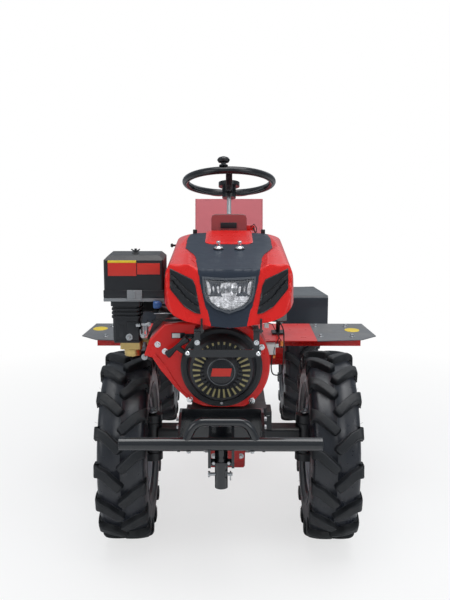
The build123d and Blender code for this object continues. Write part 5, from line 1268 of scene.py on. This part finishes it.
DASH_Y = FRONT + 0.258
DASH_LEAD = [(88, 4, 1042), (96, 2, 1020), (90, 10, 980), (70, 16, 940)]
DASH_LOOP = [(78, 4, 1044), (90, -2, 1056), (100, 4, 1040), (96, 12, 1000)]
Detail(y=DASH_Y).block((-30.4, -4, 1041), (27.9, 1, 1061), 1.5).done("dash_meter", "black_plastic")
Detail(y=DASH_Y).block((60, 6, 1031), (93, 8.5, 1050), 0.8).done("dash_tab", "red_paint")
Detail(y=DASH_Y).tube(DASH_LEAD, 2.2, 8).tube(DASH_LOOP, 1.6, 8).done("dash_lines", "rubber")
fasteners = Detail(y=FRONT)
for side in (-1, 1):
    for y in (350, 540):
        for x in (470, 350):
            fasteners.bolt((side * x, y, FOOT_Z), TO_TOP, 12)
    fasteners.bolt((side * 52, 258, 840), TO_FRONT, 10).bolt((side * 52, 258, 1020), TO_FRONT, 8)
fasteners.done("body_bolts", "steel")

# Seat's rolled edges and pressed ribs, the bolts of seat and pedestal, and the pedestal's louvres.
SEAT_LINE = [(211, 824), (219, 845), (227, 852.5), (452, 852.5), (459, 857), (502, 1100)]
SEAT_RIB = [(250, 851), (260, 853), (420, 853), (430, 851)]
BACK_RIB = [(474.5, 910), (478, 920), (501, 1050), (501.5, 1060)]
seat_edges = Detail()
for x in (-152, 152):
    seat_edges.tube([(x, y, z) for y, z in SEAT_LINE], 2.6, 10)
seat_edges.tube([(-152, 503.5, 1101), (152, 503.5, 1101)], 2.2, 10)
for x in (-70, 0, 70):
    seat_edges.tube([(x, y, z) for y, z in SEAT_RIB], 4, 12)
for x in (-80, 80):
    seat_edges.tube([(x, y, z) for y, z in BACK_RIB], 4.2, 12)
seat_edges.done("seat_edges", "seat_red_painted_haze")
seat_bolts = Detail()
for x in (-95, 95):
    for y in (300, 410):
        seat_bolts.bolt((x, y, 852), TO_TOP, 10)
    for z in (560, 825):
        seat_bolts.bolt((x, 449.5, z), TO_REAR, 9)
for side in (-1, 1):
    for y in (290, 430):
        for z, across in ((558, 10), (822, 8)):
            seat_bolts.bolt((side * 122.7, y, z), (side, 0, 0), across)
seat_bolts.done("seat_bolts", "steel")
louvres = Detail()
for side in (-1, 1):
    for z in (700, 724, 748, 772):
        line = ((122.5, 315), (124.5, 323), (124.5, 396), (122.5, 404))
        louvres.tube([(side * x, y, z) for x, y in line], 4.2, 12)
louvres.done("pedestal_louvres", "frame_paint")

# Mudguards' rolled edges: up the outer side, back along it, across and forward along the inner side.
GUARD_OUTER, GUARD_INNER = 433, 243
GUARD_LINE = [(GUARD_OUTER, 263, 569), (GUARD_OUTER, 263, 682), (GUARD_OUTER, 274, 690),
              (GUARD_OUTER, 869, 634.6), (GUARD_INNER, 869, 634.6), (GUARD_INNER, 274, 690),
              (GUARD_INNER, 263, 682)]
guard_edges = Detail()
for side in (-1, 1):
    guard_edges.tube([(side * x, y, z) for x, y, z in GUARD_LINE], 2.8, 10)
guard_edges.done("guard_edges", "guard_paint")

# Hood's small rubber parts: a stop at each rear corner and a knob on its right flank.
STOP_X = 121
RUBBER_KNOB = [(0.1, 15), (5, 14.6), (6.8, 12), (6.8, 8), (3.6, 5), (3.4, -6)]
stops = Detail(y=HOOD_REAR.y)
for x in (-STOP_X, STOP_X):
    stops.block((x - 7.5, -14, 1024), (x + 7.5, -3, 1040), 2.5)
stops.turned(RUBBER_KNOB, (-186, -120, 995), (-1, 0, 0), 20)
stops.done("hood_stops", "rubber", "hood")

# Front axle: bright stepped hubs beside the drive casing, its ribs, and the knuckles' bolts

BEAM_Z = 0.345
CASE_LEFT, CASE_RIGHT = 77, -43             # the drive casing's sides, from the engine's middle
HUB_SECTION = [(48, 0.5), (55.5, 0.5), (56.6, 1.8), (56.6, 15), (55.5, 17.2), (47, 17.4), (46.8, 19),
               (46.8, 32), (45.5, 34.2), (42, 34.2)]
HUB_CIRCLE = 51.2
PIN_SECTION = [(0.1, 4), (15, 4), (16.5, 2.5), (16.5, 0)]
hubs = Detail(ENGINE_X, FRONT, BEAM_Z)
for start, way in ((CASE_RIGHT, -1), (CASE_LEFT, 1)):
    hubs.turned(HUB_SECTION, (start, 0, 0), (way, 0, 0), 48)
    for k in range(8):
        angle = 2 * pi * k / 8 + 0.2
        place = (start + way * 17.2, HUB_CIRCLE * sin(angle), HUB_CIRCLE * cos(angle))
        hubs.bolt(place, (way, 0, 0), 8, washer=False)
hubs.done("axle_hubs", "steel")
ribs = Detail(ENGINE_X, FRONT)
for x in (-21, 3, 31, 55):
    ribs.block((x - 2.2, -65.5, 288), (x + 2.2, -60, 388), 1.4)
ribs.done("casing_ribs", "knuckle_paint")
case_bolts = Detail(y=FRONT)
for x in (-51, 41):
    for z in (296, 380):
        case_bolts.bolt((x, -62.5, z), TO_FRONT, 10)
for x in (-132.68, 132.68):
    for y in (-34, 34):
        case_bolts.bolt((x, y, 433), TO_GROUND, 12)
case_bolts.done("axle_bolts", "steel")
for side, hand in (("left", 1), ("right", -1)):
    kingpin = Detail(y=FRONT).turned(PIN_SECTION, (hand * 262, 0, 432), TO_TOP, 24)
    kingpin.bolt((hand * 262, 0, 436), TO_TOP, 14, washer=False)
    for y in (-20, 20):
        kingpin.bolt((hand * 306, y, 425.5), TO_TOP, 9)
    kingpin.done(f"{side}_kingpin_cap", "steel", f"{side}_knuckle")

# Bumper: bolts under the tube and on its legs, and end plugs

bumper = Detail(ENGINE_X, FRONT)
for x in (-94, 90):
    bumper.bolt((x, -450, 460), TO_GROUND, 11)
for way in (-1, 1):
    for y, z in ((-330, 490), (-345, 520)):
        bumper.bolt((way * 127, y, z), (way, 0, 0), 12)
for x in (-22, 22):
    bumper.bolt((x, -457.5, 425), TO_FRONT, 9, washer=False)
bumper.done("bumper_bolts", "steel")
plugs = Detail(ENGINE_X, FRONT)
for x, way in ((-295, -1), (292, 1)):
    plugs.turned([(0.1, 1.6), (12, 1.4), (16.5, 0.4), (16.8, -0.4)], (x, -450, 479), (way, 0, 0), 28)
plugs.done("bumper_plugs", "black_plastic")

# Wiring on the engine's left flank: white and orange connectors, and thin leads

LEADS = [[(113, -14, 806), (130, -18, 802), (146, -13, 770), (158, -8, 748)],
         [(145, -11, 740), (150, -12, 760), (152, -8, 790), (140, -4, 815)],
         [(138, -10, 730), (136, -11, 715), (137, -10, 704)]]
blocks = Detail(y=PLUG_Y)
blocks.block((106, -16, 790), (120, -12.5, 806), 1.2).block((140, -13, 729), (150, -9, 740), 1)
blocks.done("white_connectors", "pale")
amber = Detail(y=PLUG_Y)
amber.block((156, -12, 732), (164, -4, 748), 1.5).block((133, -13, 696), (140, -8, 704), 1.2)
amber.done("orange_connector", "orange")
leads = Detail(y=PLUG_Y)
for line in LEADS:
    leads.tube(line, 1.3, 8)
leads.done("engine_leads", "rubber")

# Floor: pale near the machine, white from a little way off as the camera sees it

FLOOR_HALF = 30
GLOW_NEAR, GLOW_FAR = 0.66, 1.0             # distances from the middle over which the glow grows
floor_mesh = bpy.data.meshes.new("floor")
corners = [(x * FLOOR_HALF, y * FLOOR_HALF, 0) for x, y in ((-1, -1), (1, -1), (1, 1), (-1, 1))]
floor_mesh.from_pydata(corners, [], [(0, 1, 2, 3)])
floor = placed("floor", floor_mesh)
ground = Look("floor_finish")
put(ground.shader, Roughness=0.9)
ground_color = ground.blend(ground.spread(ground.noise(0.8, 3), 0, 1), (0.86, 0.86, 0.86), (0.9, 0.9, 0.9))
wire(ground.tree, ground_color, ground.shader.inputs["Base Color"])
glow = ground.add("ShaderNodeEmission")
length = ground.add("ShaderNodeVectorMath", operation="LENGTH")
wire(ground.tree, ground.coords, length.inputs[0])
far = ground.spread(length.outputs["Value"], GLOW_NEAR, GLOW_FAR, 0.6, 2.4)
path = ground.add("ShaderNodeLightPath")
fac = ground.maths("MULTIPLY", far, path.outputs["Is Camera Ray"])
joined = ground.add("ShaderNodeMixShader")
wire(ground.tree, fac, joined.inputs[0])
wire(ground.tree, ground.shader.outputs[0], joined.inputs[1])
wire(ground.tree, glow.outputs[0], joined.inputs[2])
wire(ground.tree, joined.outputs[0], ground.out.inputs["Surface"])
floor_mesh.materials.append(ground.mat)

bpy.context.view_layer.update()
